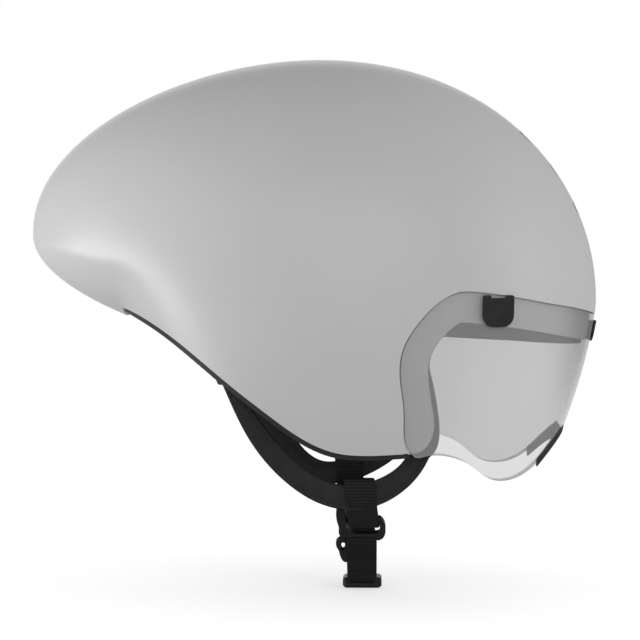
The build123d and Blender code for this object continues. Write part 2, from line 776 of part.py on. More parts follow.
knob_rear_x = housing_rear_x - cover_wall - knob_lift - knob_wall
pinion_root = pitch_radius - root_drop * tooth_module
pinion_tip = pitch_radius + tooth_module - mesh_gap
tooth_half = rack_pitch / 4 - mesh_gap / 2
tooth_foot = tooth_half + tan(radians(pressure_angle)) * root_drop * tooth_module
tooth_tip = tooth_half - tan(radians(pressure_angle)) * tooth_module
with BuildPart() as dial_pinion:
    with BuildSketch(Plane.YZ.offset(rack_rear_x - rack_gap / 2)):
        with Locations((0, dial_z)):
            Circle(pinion_root)
            with PolarLocations(0, tooth_count):
                Polygon((pinion_root - mesh_gap, -tooth_foot), (pinion_tip, -tooth_tip),
                        (pinion_tip, tooth_tip), (pinion_root - mesh_gap, tooth_foot), align=None)
    extrude(amount=rack_wall + rack_gap / 2)
    with BuildSketch(Plane.YZ.offset(knob_rear_x + knob_wall / 2)):
        with Locations((0, dial_z)):
            Circle(shaft_radius)
    extrude(amount=rack_rear_x - knob_rear_x - knob_wall / 2)
finish(dial_pinion, "dial_pinion")
with BuildPart() as dial_knob:
    with BuildSketch(Plane.YZ.offset(knob_rear_x)):
        with Locations((0, dial_z)):
            Circle(knob_radius)
            with PolarLocations(knob_radius + knob_lobe_radius / 2, knob_lobes):
                Circle(knob_lobe_radius, mode=Mode.SUBTRACT)
    extrude(amount=knob_wall)
    chamfer(dial_knob.faces().sort_by(Axis.X)[0].edges(), knob_lift)
    add(dial_pinion.part, mode=Mode.SUBTRACT)
finish(dial_knob, "dial_knob")

# Magnet seats: one at the middle of the brow and one at each side, shared by shell and visor
clip_side_x = 73.2
clip_side_z = -10.3
clip_front_z = -21.0
clip_width = 17.0
clip_height = 15.5
clip_front_height = 11.0
clip_corner = 1.2
clip_foot = 6.0
clip_lift = 1.1
clip_notch = 8.8
clip_notch_depth = 1.4
boss_radius = 5.0
magnet_radius = 4.0
magnet_wall = 1.6
clip_planes = {
    "left": (form_plane(clip_side_x, clip_side_z, 1), clip_height),
    "right": (form_plane(clip_side_x, clip_side_z, -1), clip_height),
    "centre": (form_plane(nose_x, clip_front_z, 0), clip_front_height),
}
shell_magnet_lift = 0.5
shell_magnets = []
for side, (plane, height) in clip_planes.items():
    with BuildPart() as magnet:
        with Locations(plane.offset(-step_depth - shell_magnet_lift - magnet_wall / 2)):
            Cylinder(magnet_radius, magnet_wall)
    finish(magnet, f"shell_magnet_{side}")
    shell_magnets.append(magnet.part)

# Foam liner with its cavity, ear hollows, dial pocket, channels and rear exhaust
exhaust_x = -17.5 - cavity_half_length
exhaust_length = 6.0
exhaust_width = 44.0
exhaust_wall = 1.2
exhaust_low_z = -12.5
exhaust_top_z = 16.0
duct_front_x = 30.0 - cavity_half_length
duct_half_width = 18.0
duct_low_z = 12.0
duct_top_z = 50.0
duct_floor_z = 40.0
inner_region = merged(clear_region, rim_region, vent_block)
with BuildPart() as exhaust_duct:
    with BuildSketch(Plane.XY.offset(exhaust_low_z)):
        with Locations((exhaust_x, 0)):
            SlotOverall(exhaust_width + 2 * exhaust_wall, exhaust_length + 2 * exhaust_wall,
                        rotation=90)
            SlotOverall(exhaust_width, exhaust_length, rotation=90, mode=Mode.SUBTRACT)
    extrude(amount=exhaust_top_z - exhaust_low_z)
    add(form_deep, mode=Mode.INTERSECT)
finish(exhaust_duct, "exhaust_duct")
with BuildPart() as hollow:
    add(head_form(0, cavity_drop))
    with BuildSketch(Plane.XZ):
        with Locations((ear_x, ear_z)):
            Circle(ear_radius)
    extrude(amount=ear_half_width, both=True)
    add(block(pocket_rear_x, pocket_front_x, -pocket_half_width, pocket_half_width,
              -cavity_drop, pocket_top_z))
with BuildPart() as channels:
    add(head_form(-channel_depth, 0))
    with BuildSketch(Plane.YZ.offset(-reach)):
        with Locations((channel_y, channel_floor_z + reach / 2),
                       (-channel_y, channel_floor_z + reach / 2)):
            Rectangle(channel_width, reach)
    extrude(amount=2 * reach, mode=Mode.INTERSECT)
with BuildPart() as duct_tool:
    with BuildSketch(Plane.XY.offset(exhaust_low_z)):
        with Locations((exhaust_x, 0)):
            SlotOverall(exhaust_width + 2 * exhaust_wall, exhaust_length + 2 * exhaust_wall,
                        rotation=90)
    extrude(amount=exhaust_top_z - exhaust_low_z)
    add(block(exhaust_x - exhaust_length / 2, exhaust_x + exhaust_length / 2,
              -duct_half_width, duct_half_width, duct_low_z, duct_top_z))
    add(block(exhaust_x - exhaust_length / 2, duct_front_x, -duct_half_width, duct_half_width,
              duct_floor_z, duct_top_z))
foam_step = merged(inner_region, form_deep, mode=Mode.SUBTRACT)
with BuildPart() as foam_liner:
    add(form_bond)
    add(foam_region, mode=Mode.INTERSECT)
    add(foam_step, mode=Mode.SUBTRACT)
    add(hollow.part, mode=Mode.SUBTRACT)
    add(channels.part, mode=Mode.SUBTRACT)
    add(vent_tool, mode=Mode.SUBTRACT)
    add(duct_tool.part, mode=Mode.SUBTRACT)
    for fitting in strap_fittings + shell_magnets:
        add(fitting, mode=Mode.SUBTRACT)
    with BuildSketch(Plane.XZ):
        with Locations((temple_x, belt_z)):
            Circle(temple_radius)
    extrude(amount=belt_half + belt_inset + temple_depth, both=True, mode=Mode.SUBTRACT)
finish(foam_liner, "foam_liner")

# Comfort pads on the wall of the head cavity
comfort_wall = 4.5
comfort_drop = 10.0
cavity_sizes = (cavity_half_length, cavity_half_width, cavity_rise)
comfort_shares = {
    "forehead_pad": ((0.72, 1.10), (-0.575, 0.575), (-0.111, 0.222)),
    "crown_pad": ((-0.48, 0.48), (-0.188, 0.188), (0.667, 1.111)),
    "side_pad_left": ((-0.36, 0.44), (0.625, 1.125), (0.133, 0.511)),
    "rear_pad_left": ((-1.00, -0.55), (0.382, 0.725), (0.133, 0.511)),
}
with BuildPart() as pad_layer:
    add(head_form(bond_gap, comfort_drop))
    add(head_form(comfort_wall, cavity_drop), mode=Mode.SUBTRACT)
for name, shares in comfort_shares.items():
    sides = [share * size for pair, size in zip(shares, cavity_sizes) for share in pair]
    with BuildPart() as comfort_pad:
        add(pad_layer.part)
        add(block(*sides), mode=Mode.INTERSECT)
    finish(comfort_pad, name)
    if name.endswith("_left"):
        with BuildPart() as twin:
            mirror(comfort_pad.part, about=Plane.XZ)
        finish(twin, name.replace("_left", "_right"))

# Visor: a wrap lens on the form of the shell, held by three clips with magnets
form_lens = helmet_form(lens_wall)
with BuildPart() as visor_lens:
    add(form_outer)
    add(form_lens, mode=Mode.SUBTRACT)
    add(lens_region, mode=Mode.INTERSECT)
    for plane, height in clip_planes.values():
        with Locations(plane):
            Cylinder(boss_radius + run_gap, 4 * seat_depth, mode=Mode.SUBTRACT)
finish(visor_lens, "visor_lens")
for side, (plane, height) in clip_planes.items():
    with BuildPart() as magnet:
        with Locations(plane.offset(-lens_wall + magnet_wall / 2)):
            Cylinder(magnet_radius, magnet_wall)
    finish(magnet, f"visor_magnet_{side}")
    with BuildPart() as clip:
        with BuildSketch(plane):
            Rectangle(clip_width, height)
            fillet(vertices().sort_by(Axis.Y)[:2], clip_foot)
            fillet(vertices().sort_by(Axis.Y)[-2:], clip_corner)
            with Locations((0, height / 2)):
                Rectangle(clip_notch, 2 * clip_notch_depth, mode=Mode.SUBTRACT)
        extrude(amount=clip_lift)
        with Locations(plane.offset(-lens_wall / 2 + clip_lift / 2)):
            Cylinder(boss_radius, lens_wall + clip_lift)
        add(magnet.part, mode=Mode.SUBTRACT)
    finish(clip, f"visor_clip_{side}")

# Nose trim: a soft strip over the edge of the lens round the nose
trim_rise = 1.6
trim_drop = 2.2
trim_wall = 0.6
trim_line = place(lens_foot_shares[-3:])
form_trim_out = helmet_form(-trim_wall)
form_trim_in = helmet_form(lens_wall + trim_wall)
trim_high = shifted(trim_line, 0, trim_rise)
trim_low = shifted(trim_line, 0, -trim_drop)
with BuildPart() as nose_trim:
    add(form_trim_out)
    add(form_trim_in, mode=Mode.SUBTRACT)
    add(side_slab(Spline(*trim_high), Spline(*trim_low), Line(trim_high[0], trim_low[0]),
                  Line(trim_high[-1], trim_low[-1])), mode=Mode.INTERSECT)
    add(visor_lens.part, mode=Mode.SUBTRACT)
finish(nose_trim, "nose_trim")
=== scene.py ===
from math import cos, pi, radians, sin, tan

import bmesh
import bpy
import numpy as np
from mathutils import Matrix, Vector


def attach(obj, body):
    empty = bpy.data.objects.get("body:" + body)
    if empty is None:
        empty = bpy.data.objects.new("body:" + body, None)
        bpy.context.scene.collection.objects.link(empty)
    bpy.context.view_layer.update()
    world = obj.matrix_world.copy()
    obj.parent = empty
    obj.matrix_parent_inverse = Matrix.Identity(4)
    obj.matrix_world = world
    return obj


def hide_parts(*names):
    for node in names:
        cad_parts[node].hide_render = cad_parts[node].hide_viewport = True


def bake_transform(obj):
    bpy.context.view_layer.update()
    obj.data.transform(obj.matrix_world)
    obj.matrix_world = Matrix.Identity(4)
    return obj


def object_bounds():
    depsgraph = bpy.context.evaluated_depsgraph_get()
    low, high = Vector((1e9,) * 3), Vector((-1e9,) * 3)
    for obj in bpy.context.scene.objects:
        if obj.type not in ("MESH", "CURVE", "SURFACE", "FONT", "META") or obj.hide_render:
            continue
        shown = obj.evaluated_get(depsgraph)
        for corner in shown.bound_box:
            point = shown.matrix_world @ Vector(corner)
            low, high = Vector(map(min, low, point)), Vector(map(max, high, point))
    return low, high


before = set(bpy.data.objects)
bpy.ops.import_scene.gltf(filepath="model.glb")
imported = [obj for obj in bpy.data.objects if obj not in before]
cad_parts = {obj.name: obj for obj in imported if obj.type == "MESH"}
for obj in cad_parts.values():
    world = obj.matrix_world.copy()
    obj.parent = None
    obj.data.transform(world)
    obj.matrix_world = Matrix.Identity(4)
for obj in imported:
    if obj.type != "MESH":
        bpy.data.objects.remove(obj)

mm = 0.001
solid_box = [list(corner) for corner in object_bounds()]

# Camera: a long lens about a metre from the wearer's right side, level with the middle of the
# helmet, as the photograph was taken.
view_target = Vector((-15.8, 0.0, -15.8)) * mm
view_distance = 1100 * mm
view_turn = radians(1.8)
view_rise = radians(0.8)
focal_length = 117.6
sensor_width = 36
out_to_camera = Vector((sin(view_turn) * cos(view_rise), -cos(view_turn) * cos(view_rise),
                        sin(view_rise)))
camera_body = bpy.data.cameras.new("camera")
camera_body.lens = focal_length
camera_body.sensor_width = sensor_width
camera = bpy.data.objects.new("camera", camera_body)
camera.location = view_target + out_to_camera * view_distance
camera.rotation_euler = (-out_to_camera).to_track_quat("-Z", "Y").to_euler()
bpy.context.scene.collection.objects.link(camera)
bpy.context.scene.camera = camera
bpy.context.scene.view_settings.view_transform = "Standard"

# Studio: an even white room with four large soft lamps, one at each end of the helmet and one on
# either side of it. The front one isn't mirrored, so that the lens stays clear.


class Finish:
    # A socket of a material, so that sums of sockets are written as plain maths.
    def __init__(self, tree, socket=None):
        self.tree = tree
        self.socket = socket

    def node(self, kind, settings={}, inputs={}, output=0):
        # A new node with its settings made first and its sockets joined or filled.
        made = self.tree.nodes.new(kind)
        for name, value in settings.items():
            setattr(made, name, value)
        for key, value in inputs.items():
            if isinstance(value, Finish):
                self.tree.links.new(value.socket, made.inputs[key])
            else:
                made.inputs[key].default_value = value
        return Finish(self.tree, made.outputs[output])

    def maths(self, operation, first, second=0.0):
        return self.node("ShaderNodeMath", {"operation": operation}, {0: first, 1: second})

    def __add__(self, other):
        return self.maths("ADD", self, other)

    def __mul__(self, other):
        return self.maths("MULTIPLY", self, other)

    def __rsub__(self, other):
        return self.maths("SUBTRACT", other, self)

    __radd__ = __add__
    __rmul__ = __mul__

    def sine(self):
        return self.maths("SINE", self)

    def over(self, low, high):
        # A share from 0 to 1 as the value goes from low to high.
        return self.node("ShaderNodeMapRange", {"interpolation_type": "SMOOTHSTEP"},
                         {0: self, 1: low, 2: high})

    def blend(self, first, second):
        # Two colours mixed by this share, through the colour sockets of the Mix node.
        mixed = self.tree.nodes.new("ShaderNodeMix")
        mixed.data_type = "RGBA"
        self.tree.links.new(self.socket, mixed.inputs[0])
        for socket, value in ((mixed.inputs[6], first), (mixed.inputs[7], second)):
            if isinstance(value, Finish):
                self.tree.links.new(value.socket, socket)
            else:
                socket.default_value = (*value, 1)
        return Finish(self.tree, mixed.outputs[2])

    def parts(self):
        # The three numbers of a vector.
        split = self.tree.nodes.new("ShaderNodeSeparateXYZ")
        self.tree.links.new(self.socket, split.inputs[0])
        return [Finish(self.tree, output) for output in split.outputs]


def feed(tools, shader, **links):
    # Joins sockets to the named inputs of a shader.
    for key, value in links.items():
        tools.tree.links.new(value.socket, shader.inputs[key.replace("_", " ")])


room = bpy.data.worlds.new("room")
bpy.context.scene.world = room
room.use_nodes = True
sky = Finish(room.node_tree)
rays = room.node_tree.nodes.new("ShaderNodeLightPath")
plainly_seen = [Finish(room.node_tree, rays.outputs[name]) for name in
                ("Is Camera Ray", "Is Glossy Ray", "Is Transmission Ray")]
seen = plainly_seen[0].maths("MAXIMUM", plainly_seen[0], plainly_seen[2])
height_share = sky.node("ShaderNodeNewGeometry", output="Incoming").parts()[2].over(-0.9, 0.9)
low_light, high_light, mirrored_light, white = [(tone, tone, tone)
                                                for tone in (0.40, 0.26, 0.50, 1.0)]
soft_sky = height_share.blend(low_light, high_light)
glossy_sky = plainly_seen[1].blend(soft_sky, mirrored_light)
feed(sky, room.node_tree.nodes["Background"], Color=seen.blend(glossy_sky, white))


def soft_lamp(name, place, power, size, mirrored=True):
    # A round lamp turned to the helmet, by its place and size in millimetres and its watts.
    lamp = bpy.data.lights.new(name, "AREA")
    lamp.shape = "DISK"
    lamp.size = size * mm
    lamp.energy = power
    thing = bpy.data.objects.new(name, lamp)
    thing.visible_glossy = mirrored
    thing.location = Vector(place) * mm
    thing.rotation_euler = (thing.location - view_target).to_track_quat("Z", "Y").to_euler()
    bpy.context.scene.collection.objects.link(thing)


soft_lamp("lamp_rear", (-1380, -400, -340), 16.6, 1100)
soft_lamp("lamp_front", (1400, -450, 150), 7.0, 1000, mirrored=False)
soft_lamp("lamp_near", (200, -1500, 350), 4.1, 1300)
soft_lamp("lamp_far", (-200, 1500, 300), 4.0, 1300)

# Floor: a plain white sheet that only keeps the helmet's shadow. It fades out in the round beyond
# it and isn't there for a camera below it.


def new_finish(name, **values):
    # A material with one main shader; returns it, its node tools, and the shader's own node.
    material = bpy.data.materials.new(name)
    material.use_nodes = True
    tree = material.node_tree
    shader = tree.nodes["Principled BSDF"]
    for key, value in values.items():
        socket = shader.inputs[key.replace("_", " ")]
        socket.default_value = (*value, 1) if isinstance(value, tuple) else value
    return material, Finish(tree), shader


def in_place(tools):
    # The place on the piece itself, so that a pattern moves with it.
    return tools.node("ShaderNodeTexCoord", output="Object")


floor_mesh = bpy.data.meshes.new("floor")
floor_half = 640 * mm
floor_gap = 0.5 * mm
floor_z = solid_box[0][2] - floor_gap
floor_glow = 0.6
fade_start_square = 0.13
fade_end_square = 0.36
floor_mesh.from_pydata([(-floor_half, -floor_half, floor_z), (floor_half, -floor_half, floor_z),
                        (floor_half, floor_half, floor_z), (-floor_half, floor_half, floor_z)],
                       [], [(0, 1, 2, 3)])
floor = bpy.data.objects.new("floor", floor_mesh)
bpy.context.scene.collection.objects.link(floor)
floor_paint, tools, shader = new_finish("floor_sheet", Base_Color=(0.80, 0.80, 0.80),
                                        Roughness=0.9, Emission_Color=(1.0, 1.0, 1.0))
floor_rays = tools.tree.nodes.new("ShaderNodeLightPath")
floor_seen, floor_through = [Finish(tools.tree, floor_rays.outputs[name])
                             for name in ("Is Camera Ray", "Is Transmission Ray")]
floor_x, floor_y, _ = in_place(tools).parts()
from_below = tools.node("ShaderNodeNewGeometry", {}, output="Backfacing")
faded = (floor_x * floor_x + floor_y * floor_y).over(fade_start_square, fade_end_square)
feed(tools, shader, Alpha=(1 - faded) * (1 - from_below),
     Emission_Strength=floor_seen.maths("MAXIMUM", floor_seen, floor_through) * floor_glow)
floor_mesh.materials.append(floor_paint)

# Outer shell: a thin skin over the foam, smooth and satin painted, with a low step in which the
# visor lies. Its form is lofted through rings, each one a rounded crown over a deeper lower half.
tail_x = -166.8
nose_x = 128.4
half_length = (nose_x - tail_x) / 2
middle_x = (nose_x + tail_x) / 2
crown_rise = 108.0
half_width = 98.0
tail_axis_z = 29.0
axis_fall_share = 0.115
top_swell_share = 0.18
side_swell_share = 0.12
tail_depth = 49.0
depth_gain = 156.0
depth_start = -0.66
depth_run = 0.5
narrowing = 0.44
narrow_run = 0.8
crown_power = 1 / 1.1
shell_wall = 1.6
lens_wall = 2.0
seat_gap = 0.6
seat_depth = lens_wall + seat_gap
step_start_x = 26.0
step_run = 4.0
form_stations = 200
form_turns = 240
ring_points = 16
ring_solver = np.linalg.inv(np.eye(ring_points) * 4 / 6
                            + (np.roll(np.eye(ring_points), 1, 0)
                               + np.roll(np.eye(ring_points), -1, 0)) / 6)


def step_share(s):
    # A smooth step from 0 to 1.
    s = np.clip(s, 0, 1)
    return s * s * (3 - 2 * s)


def ring_sizes(a, inset):
    # Place along the helmet, and the axis height, top, side and depth of the ring there.
    u, c = np.sin(a), np.cos(a).clip(1e-9)
    x = middle_x + (half_length - inset) * u
    axis_z = tail_axis_z - axis_fall_share * (x - tail_x)
    top = (crown_rise - inset) * c * (1 + top_swell_share * u)
    side = (half_width - inset) * c * (1 + side_swell_share * u)
    depth = tail_depth + depth_gain * step_share((u - depth_start) / depth_run) - inset
    depth = depth * c ** (1 + narrowing * step_share(u / narrow_run))
    return x, axis_z, top, side, depth


def form_at(a, turn, inset):
    # Points of the form, by the angle along the helmet, the turn round it and the inset.
    x, axis_z, top, side, depth = ring_sizes(a, inset)
    marks = 2 * pi * np.arange(ring_points) / ring_points - pi / 2
    across, rise = np.cos(marks), np.sin(marks)
    upper = rise >= 0
    spread = np.where(upper, np.sign(across) * np.abs(across) ** crown_power, across)
    lift = np.where(upper, np.abs(rise) ** crown_power, rise)
    ring_y = side[:, None] * spread
    ring_z = axis_z[:, None] + np.where(upper, top[:, None], depth[:, None]) * lift
    place = (turn + pi / 2) / (2 * pi) * ring_points
    first = np.floor(place).astype(int)
    f = place - first
    weights = ((1 - f) ** 3 / 6, (3 * f ** 3 - 6 * f ** 2 + 4) / 6,
               (-3 * f ** 3 + 3 * f ** 2 + 3 * f + 1) / 6, f ** 3 / 6)
    y, z = ring_y @ ring_solver, ring_z @ ring_solver
    rows = np.arange(len(a))
    out_y = sum(w * y[rows, (first + k - 1) % ring_points] for k, w in enumerate(weights))
    out_z = sum(w * z[rows, (first + k - 1) % ring_points] for k, w in enumerate(weights))
    return np.stack([x, out_y, out_z], 1)


def drawn(points, steps=10):
    # A smooth curve through points, as a flexible ruler lies.
    p = np.array(points, float)
    s = np.concatenate([[0], np.cumsum(np.linalg.norm(np.diff(p, axis=0), axis=1))])
    n = len(p)
    matrix, right = np.zeros((n, n)), np.zeros(p.shape)
    for end, picks in ((0, slice(0, 4)), (n - 1, slice(n - 4, n))):
        matrix[end, end] = 1
        right[end] = np.polyfit(s[picks] - s[end], p[picks], 3)[2]
    for i in range(1, n - 1):
        before, after = s[i] - s[i - 1], s[i + 1] - s[i]
        matrix[i, i - 1:i + 2] = 1 / before, 2 / before + 2 / after, 1 / after
        right[i] = 3 * ((p[i] - p[i - 1]) / before ** 2 + (p[i + 1] - p[i]) / after ** 2)
    slope = np.linalg.solve(matrix, right)
    curve = []
    for i in range(n - 1):
        h = s[i + 1] - s[i]
        f = np.arange(steps)[:, None] / steps
        curve.append((1 + 2 * f) * (1 - f) ** 2 * p[i] + f * (1 - f) ** 2 * h * slope[i]
                     + f * f * (3 - 2 * f) * p[i + 1] - f * f * (1 - f) * h * slope[i + 1])
    return np.concatenate(curve + [p[-1:]])


def side_points(shares, dx=0.0, dz=0.0):
    # Shares of the half length and of the crown height, as points of the side view.
    return [(middle_x + s * half_length + dx, t * crown_rise + dz) for s, t in shares]


def depth_inside(outline, x, z):
    # Distance inside an outline of the side view, less than nothing outside it.
    start, stop = outline, np.roll(outline, -1, 0)
    run = stop - start
    length = (run ** 2).sum(1).clip(1e-12)
    found = []
    batch = 3000
    for k in range(0, len(x), batch):
        px, pz = x[k:k + batch, None], z[k:k + batch, None]
        wx, wz = px - start[:, 0], pz - start[:, 1]
        f = ((wx * run[:, 0] + wz * run[:, 1]) / length).clip(0, 1)
        gap = ((wx - f * run[:, 0]) ** 2 + (wz - f * run[:, 1]) ** 2).min(1) ** 0.5
        spans = (start[:, 1] > pz) != (stop[:, 1] > pz)
        safe = np.where(np.abs(run[:, 1]) < 1e-12, 1e-12, run[:, 1])
        hits = spans & (px < start[:, 0] + run[:, 0] * (pz - start[:, 1]) / safe)
        found.append(np.where(hits.sum(1) % 2 == 1, gap, -gap))
    return np.concatenate(found)


def form_grid(stations, turns):
    # Corners and triangles that cover the whole form, closed at the tail and the nose.
    a = np.repeat(np.linspace(-pi / 2, pi / 2, stations + 1)[1:-1], turns)
    turn = np.tile(2 * pi * np.arange(turns) / turns - pi / 2, stations - 1)
    spots = np.stack([np.append(a, [-pi / 2, pi / 2]), np.append(turn, [0, 0])], 1)
    tail, nose = len(a), len(a) + 1
    faces = []
    for k in range(turns):
        j = (k + 1) % turns
        rows = np.arange(stations - 2)[:, None] * turns
        one, two, three, four = rows + k, rows + turns + k, rows + turns + j, rows + j
        faces.append(np.hstack([one, two, three]))
        faces.append(np.hstack([one, three, four]))
        faces.append(np.array([[tail, k, j]]))
        last = (stations - 2) * turns
        faces.append(np.array([[last + k, nose, last + j]]))
    return spots, np.concatenate(faces)


def between(spots, one, two, f):
    # A place on the edge between two corners, taking the turn the short way round.
    first, second = spots[one], spots[two]
    near = (second[:, 1] - first[:, 1] + pi) % (2 * pi) - pi
    near = np.where(np.abs(np.abs(first[:, 0]) - pi / 2) < 1e-6, 0, near)
    start = np.where(np.abs(np.abs(first[:, 0]) - pi / 2) < 1e-6, second[:, 1], first[:, 1])
    near = np.where(np.abs(np.abs(second[:, 0]) - pi / 2) < 1e-6, 0, near)
    return np.stack([first[:, 0] + (second[:, 0] - first[:, 0]) * f, start + near * f], 1)


def divided(spots, faces, value_of, snap=0.3):
    # Divides triangles along the line where the value is nothing; tells which are inside it.
    value = value_of(spots)
    edges = np.sort(np.concatenate([faces[:, [0, 1]], faces[:, [1, 2]], faces[:, [2, 0]]]), 1)
    edges = np.unique(edges, axis=0)
    one, two = edges[value[edges[:, 0]] * value[edges[:, 1]] < 0].T
    f = value[one] / (value[one] - value[two])
    small = np.minimum(f, 1 - f)
    corner, other = np.where(f < 0.5, one, two), np.where(f < 0.5, two, one)
    order = np.argsort(-small)
    order = order[small[order] < snap]
    moved = between(spots, corner[order], other[order], small[order])
    spots = spots.copy()
    spots[corner[order]] = moved
    value[corner[order]] = 0
    one, two = edges[value[edges[:, 0]] * value[edges[:, 1]] < 0].T
    f = value[one] / (value[one] - value[two])
    added = between(spots, one, two, f)
    base = len(spots)
    new_id = {(p, q): base + k for k, (p, q) in enumerate(zip(one.tolist(), two.tolist()))}
    spots = np.concatenate([spots, added])
    value = np.append(value, np.zeros(len(added)))
    signs = np.sign(value[faces])
    mixed = (signs.max(1) > 0) & (signs.min(1) < 0)
    kept = [faces[~mixed]]
    fresh = []
    for face in faces[mixed].tolist():
        loop = []
        for k in range(3):
            p, q = face[k], face[(k + 1) % 3]
            loop.append(p)
            key = (min(p, q), max(p, q))
            if key in new_id:
                loop.append(new_id[key])
        for wanted in (1, -1):
            part = [p for p in loop if value[p] * wanted >= 0]
            for k in range(1, len(part) - 1):
                fresh.append((part[0], part[k], part[k + 1]))
    kept.append(np.array(fresh, int).reshape(-1, 3))
    faces = np.concatenate(kept)
    return spots, faces, value[faces].sum(1) > 0


def new_piece(name, points, faces, material, sharp=40.0):
    # A mesh object in metres from points in millimetres.
    mesh = bpy.data.meshes.new(name)
    mesh.from_pydata((np.asarray(points, float) * mm).tolist(), [],
                     [tuple(face) for face in faces])
    mesh.update()
    mesh.polygons.foreach_set("use_smooth", [True] * len(mesh.polygons))
    mesh.set_sharp_from_angle(angle=radians(sharp))
    mesh.materials.append(material)
    piece = bpy.data.objects.new(name, mesh)
    bpy.context.scene.collection.objects.link(piece)
    return piece


def thick_skin(name, spots, faces, outer, inner, material):
    # A closed skin: each triangle lies at its outer inset and again at its inner one. A corner is
    # kept as one whole number, made of its place in the grid and its inset in tenths.
    size = len(spots)
    code_step = 1000

    def corner(points, insets):
        return points * code_step + np.round(insets * 10).astype(int)

    def wall(one, two, first, second):
        return np.stack([corner(two, first), corner(one, first), corner(one, second),
                         corner(two, second)], 1)

    outside = corner(faces, outer[:, None])
    inside = corner(faces, inner[:, None])[:, ::-1]
    half = np.concatenate([faces[:, [0, 1]], faces[:, [1, 2]], faces[:, [2, 0]]])
    owner = np.tile(np.arange(len(faces)), 3)
    key = half.min(1) * size + half.max(1)
    order = np.argsort(key, kind="stable")
    key, half, owner = key[order], half[order], owner[order]
    paired = np.append(key[1:] == key[:-1], False)
    single = ~paired & ~np.insert(paired[:-1], 0, False)
    walls = [wall(half[single, 0], half[single, 1], outer[owner[single]], inner[owner[single]])]
    here = np.flatnonzero(paired)
    one, two = half[here, 0], half[here, 1]
    for insets, flip in ((outer, False), (inner, True)):
        first, second = insets[owner[here]], insets[owner[here + 1]]
        apart = np.abs(first - second) > 1e-6
        quads = wall(one[apart], two[apart], first[apart], second[apart])
        walls.append(quads[:, ::-1] if flip else quads)
    walls = np.concatenate(walls)
    codes, index = np.unique(np.concatenate([outside.ravel(), inside.ravel(), walls.ravel()]),
                             return_inverse=True)
    which, insets = codes // code_step, (codes % code_step) / 10
    points = form_at(spots[which, 0], spots[which, 1], insets)
    count = outside.size
    triangles = index[:2 * count].reshape(-1, 3).tolist()
    quads = index[2 * count:].reshape(-1, 4).tolist()
    return new_piece(name, points, triangles + quads, material)


def outline_value(outline, sunk_from=None):
    # Distance inside an outline, measured on the sunk step from the given place forward.
    def value(spots):
        inset = np.zeros(len(spots))
        place = form_at(spots[:, 0], spots[:, 1], inset)
        if sunk_from is not None:
            inset = seat_depth * ((place[:, 0] - sunk_from) / step_run).clip(0, 1)
            place = form_at(spots[:, 0], spots[:, 1], inset)
        return depth_inside(outline, place[:, 0], place[:, 2])
    return value


ear_shares = [(-0.652, -0.084), (-0.463, -0.210), (-0.279, -0.405), (-0.125, -0.566),
              (-0.025, -0.662), (0.091, -0.731), (0.176, -0.744), (0.332, -0.736)]
corner_shares = [(0.332, -0.736), (0.385, -0.718), (0.408, -0.672), (0.417, -0.624),
                 (0.414, -0.560), (0.396, -0.377), (0.399, -0.318), (0.420, -0.254),
                 (0.448, -0.207), (0.482, -0.163), (0.508, -0.144)]
brow_shares = [(0.508, -0.144), (0.668, -0.169), (0.783, -0.194), (1.079, -0.273)]
tail_under_share = (-0.697, -0.230)
far = 220.0
brow_end = side_points(brow_shares)[-1]
under = side_points([tail_under_share])[0]
shell_outline = np.concatenate([
    drawn(side_points(ear_shares))[:-1], drawn(side_points(corner_shares))[:-1],
    np.array(side_points(brow_shares)),
    [(far, brow_end[1]), (far, far), (-far, far), (-far, -far), (under[0], -far), under]])
lens_top_shares = [(1.003, -0.126), (0.974, -0.112), (0.796, -0.065), (0.691, -0.039),
                   (0.579, -0.018), (0.514, -0.011)]
lens_rear_shares = [(0.514, -0.011), (0.461, -0.033), (0.368, -0.149), (0.315, -0.273),
                    (0.306, -0.385), (0.320, -0.556), (0.335, -0.729), (0.360, -0.761)]
lens_foot_shares = [(0.360, -0.761), (0.474, -0.756), (0.542, -0.799), (0.610, -0.868),
                    (0.681, -0.877), (0.776, -0.809), (0.825, -0.737), (0.877, -0.659)]


def lens_outline(grow):
    # The outline of the visor, let out by the given amount.
    top = side_points(lens_top_shares, 0, grow)
    rear = [top[-1]] + side_points(lens_rear_shares[1:], -grow, 0)
    foot = [rear[-1]] + side_points(lens_foot_shares[1:], 0, -grow)
    return np.concatenate([drawn(top)[:-1], drawn(rear)[:-1], drawn(foot),
                           [(far, foot[-1][1]), (far, top[0][1])]])


vent_heights = [78.7, 61.9, 42.4]
vent_widths = [20.0, 17.0, 14.0]
vent_tall = 6.0
vent_y = 15.0
vent_start_x = 40.0


def vent_value(spots):
    # Distance outside the six rounded slots of the front vents.
    place = form_at(spots[:, 0], spots[:, 1], np.zeros(len(spots)))
    gap = np.full(len(place), 1e3)
    for height, width in zip(vent_heights, vent_widths):
        across = (np.abs(np.abs(place[:, 1]) - vent_y) - (width - vent_tall) / 2).clip(0)
        gap = np.minimum(gap, np.hypot(across, place[:, 2] - height) - vent_tall / 2)
    return np.where(place[:, 0] > vent_start_x, gap, 1e3)


def relief(tools, height, strength, distance):
    # Small bumps of the given height in millimetres.
    return tools.node("ShaderNodeBump", {}, {"Strength": strength, "Distance": distance * mm,
                                             "Height": height})


def speckle(tools, where, size, detail=2.0):
    # Soft random shades of a given size in millimetres.
    return tools.node("ShaderNodeTexNoise", {}, {"Vector": where, "Scale": 1 / (size * mm),
                                                 "Detail": detail})


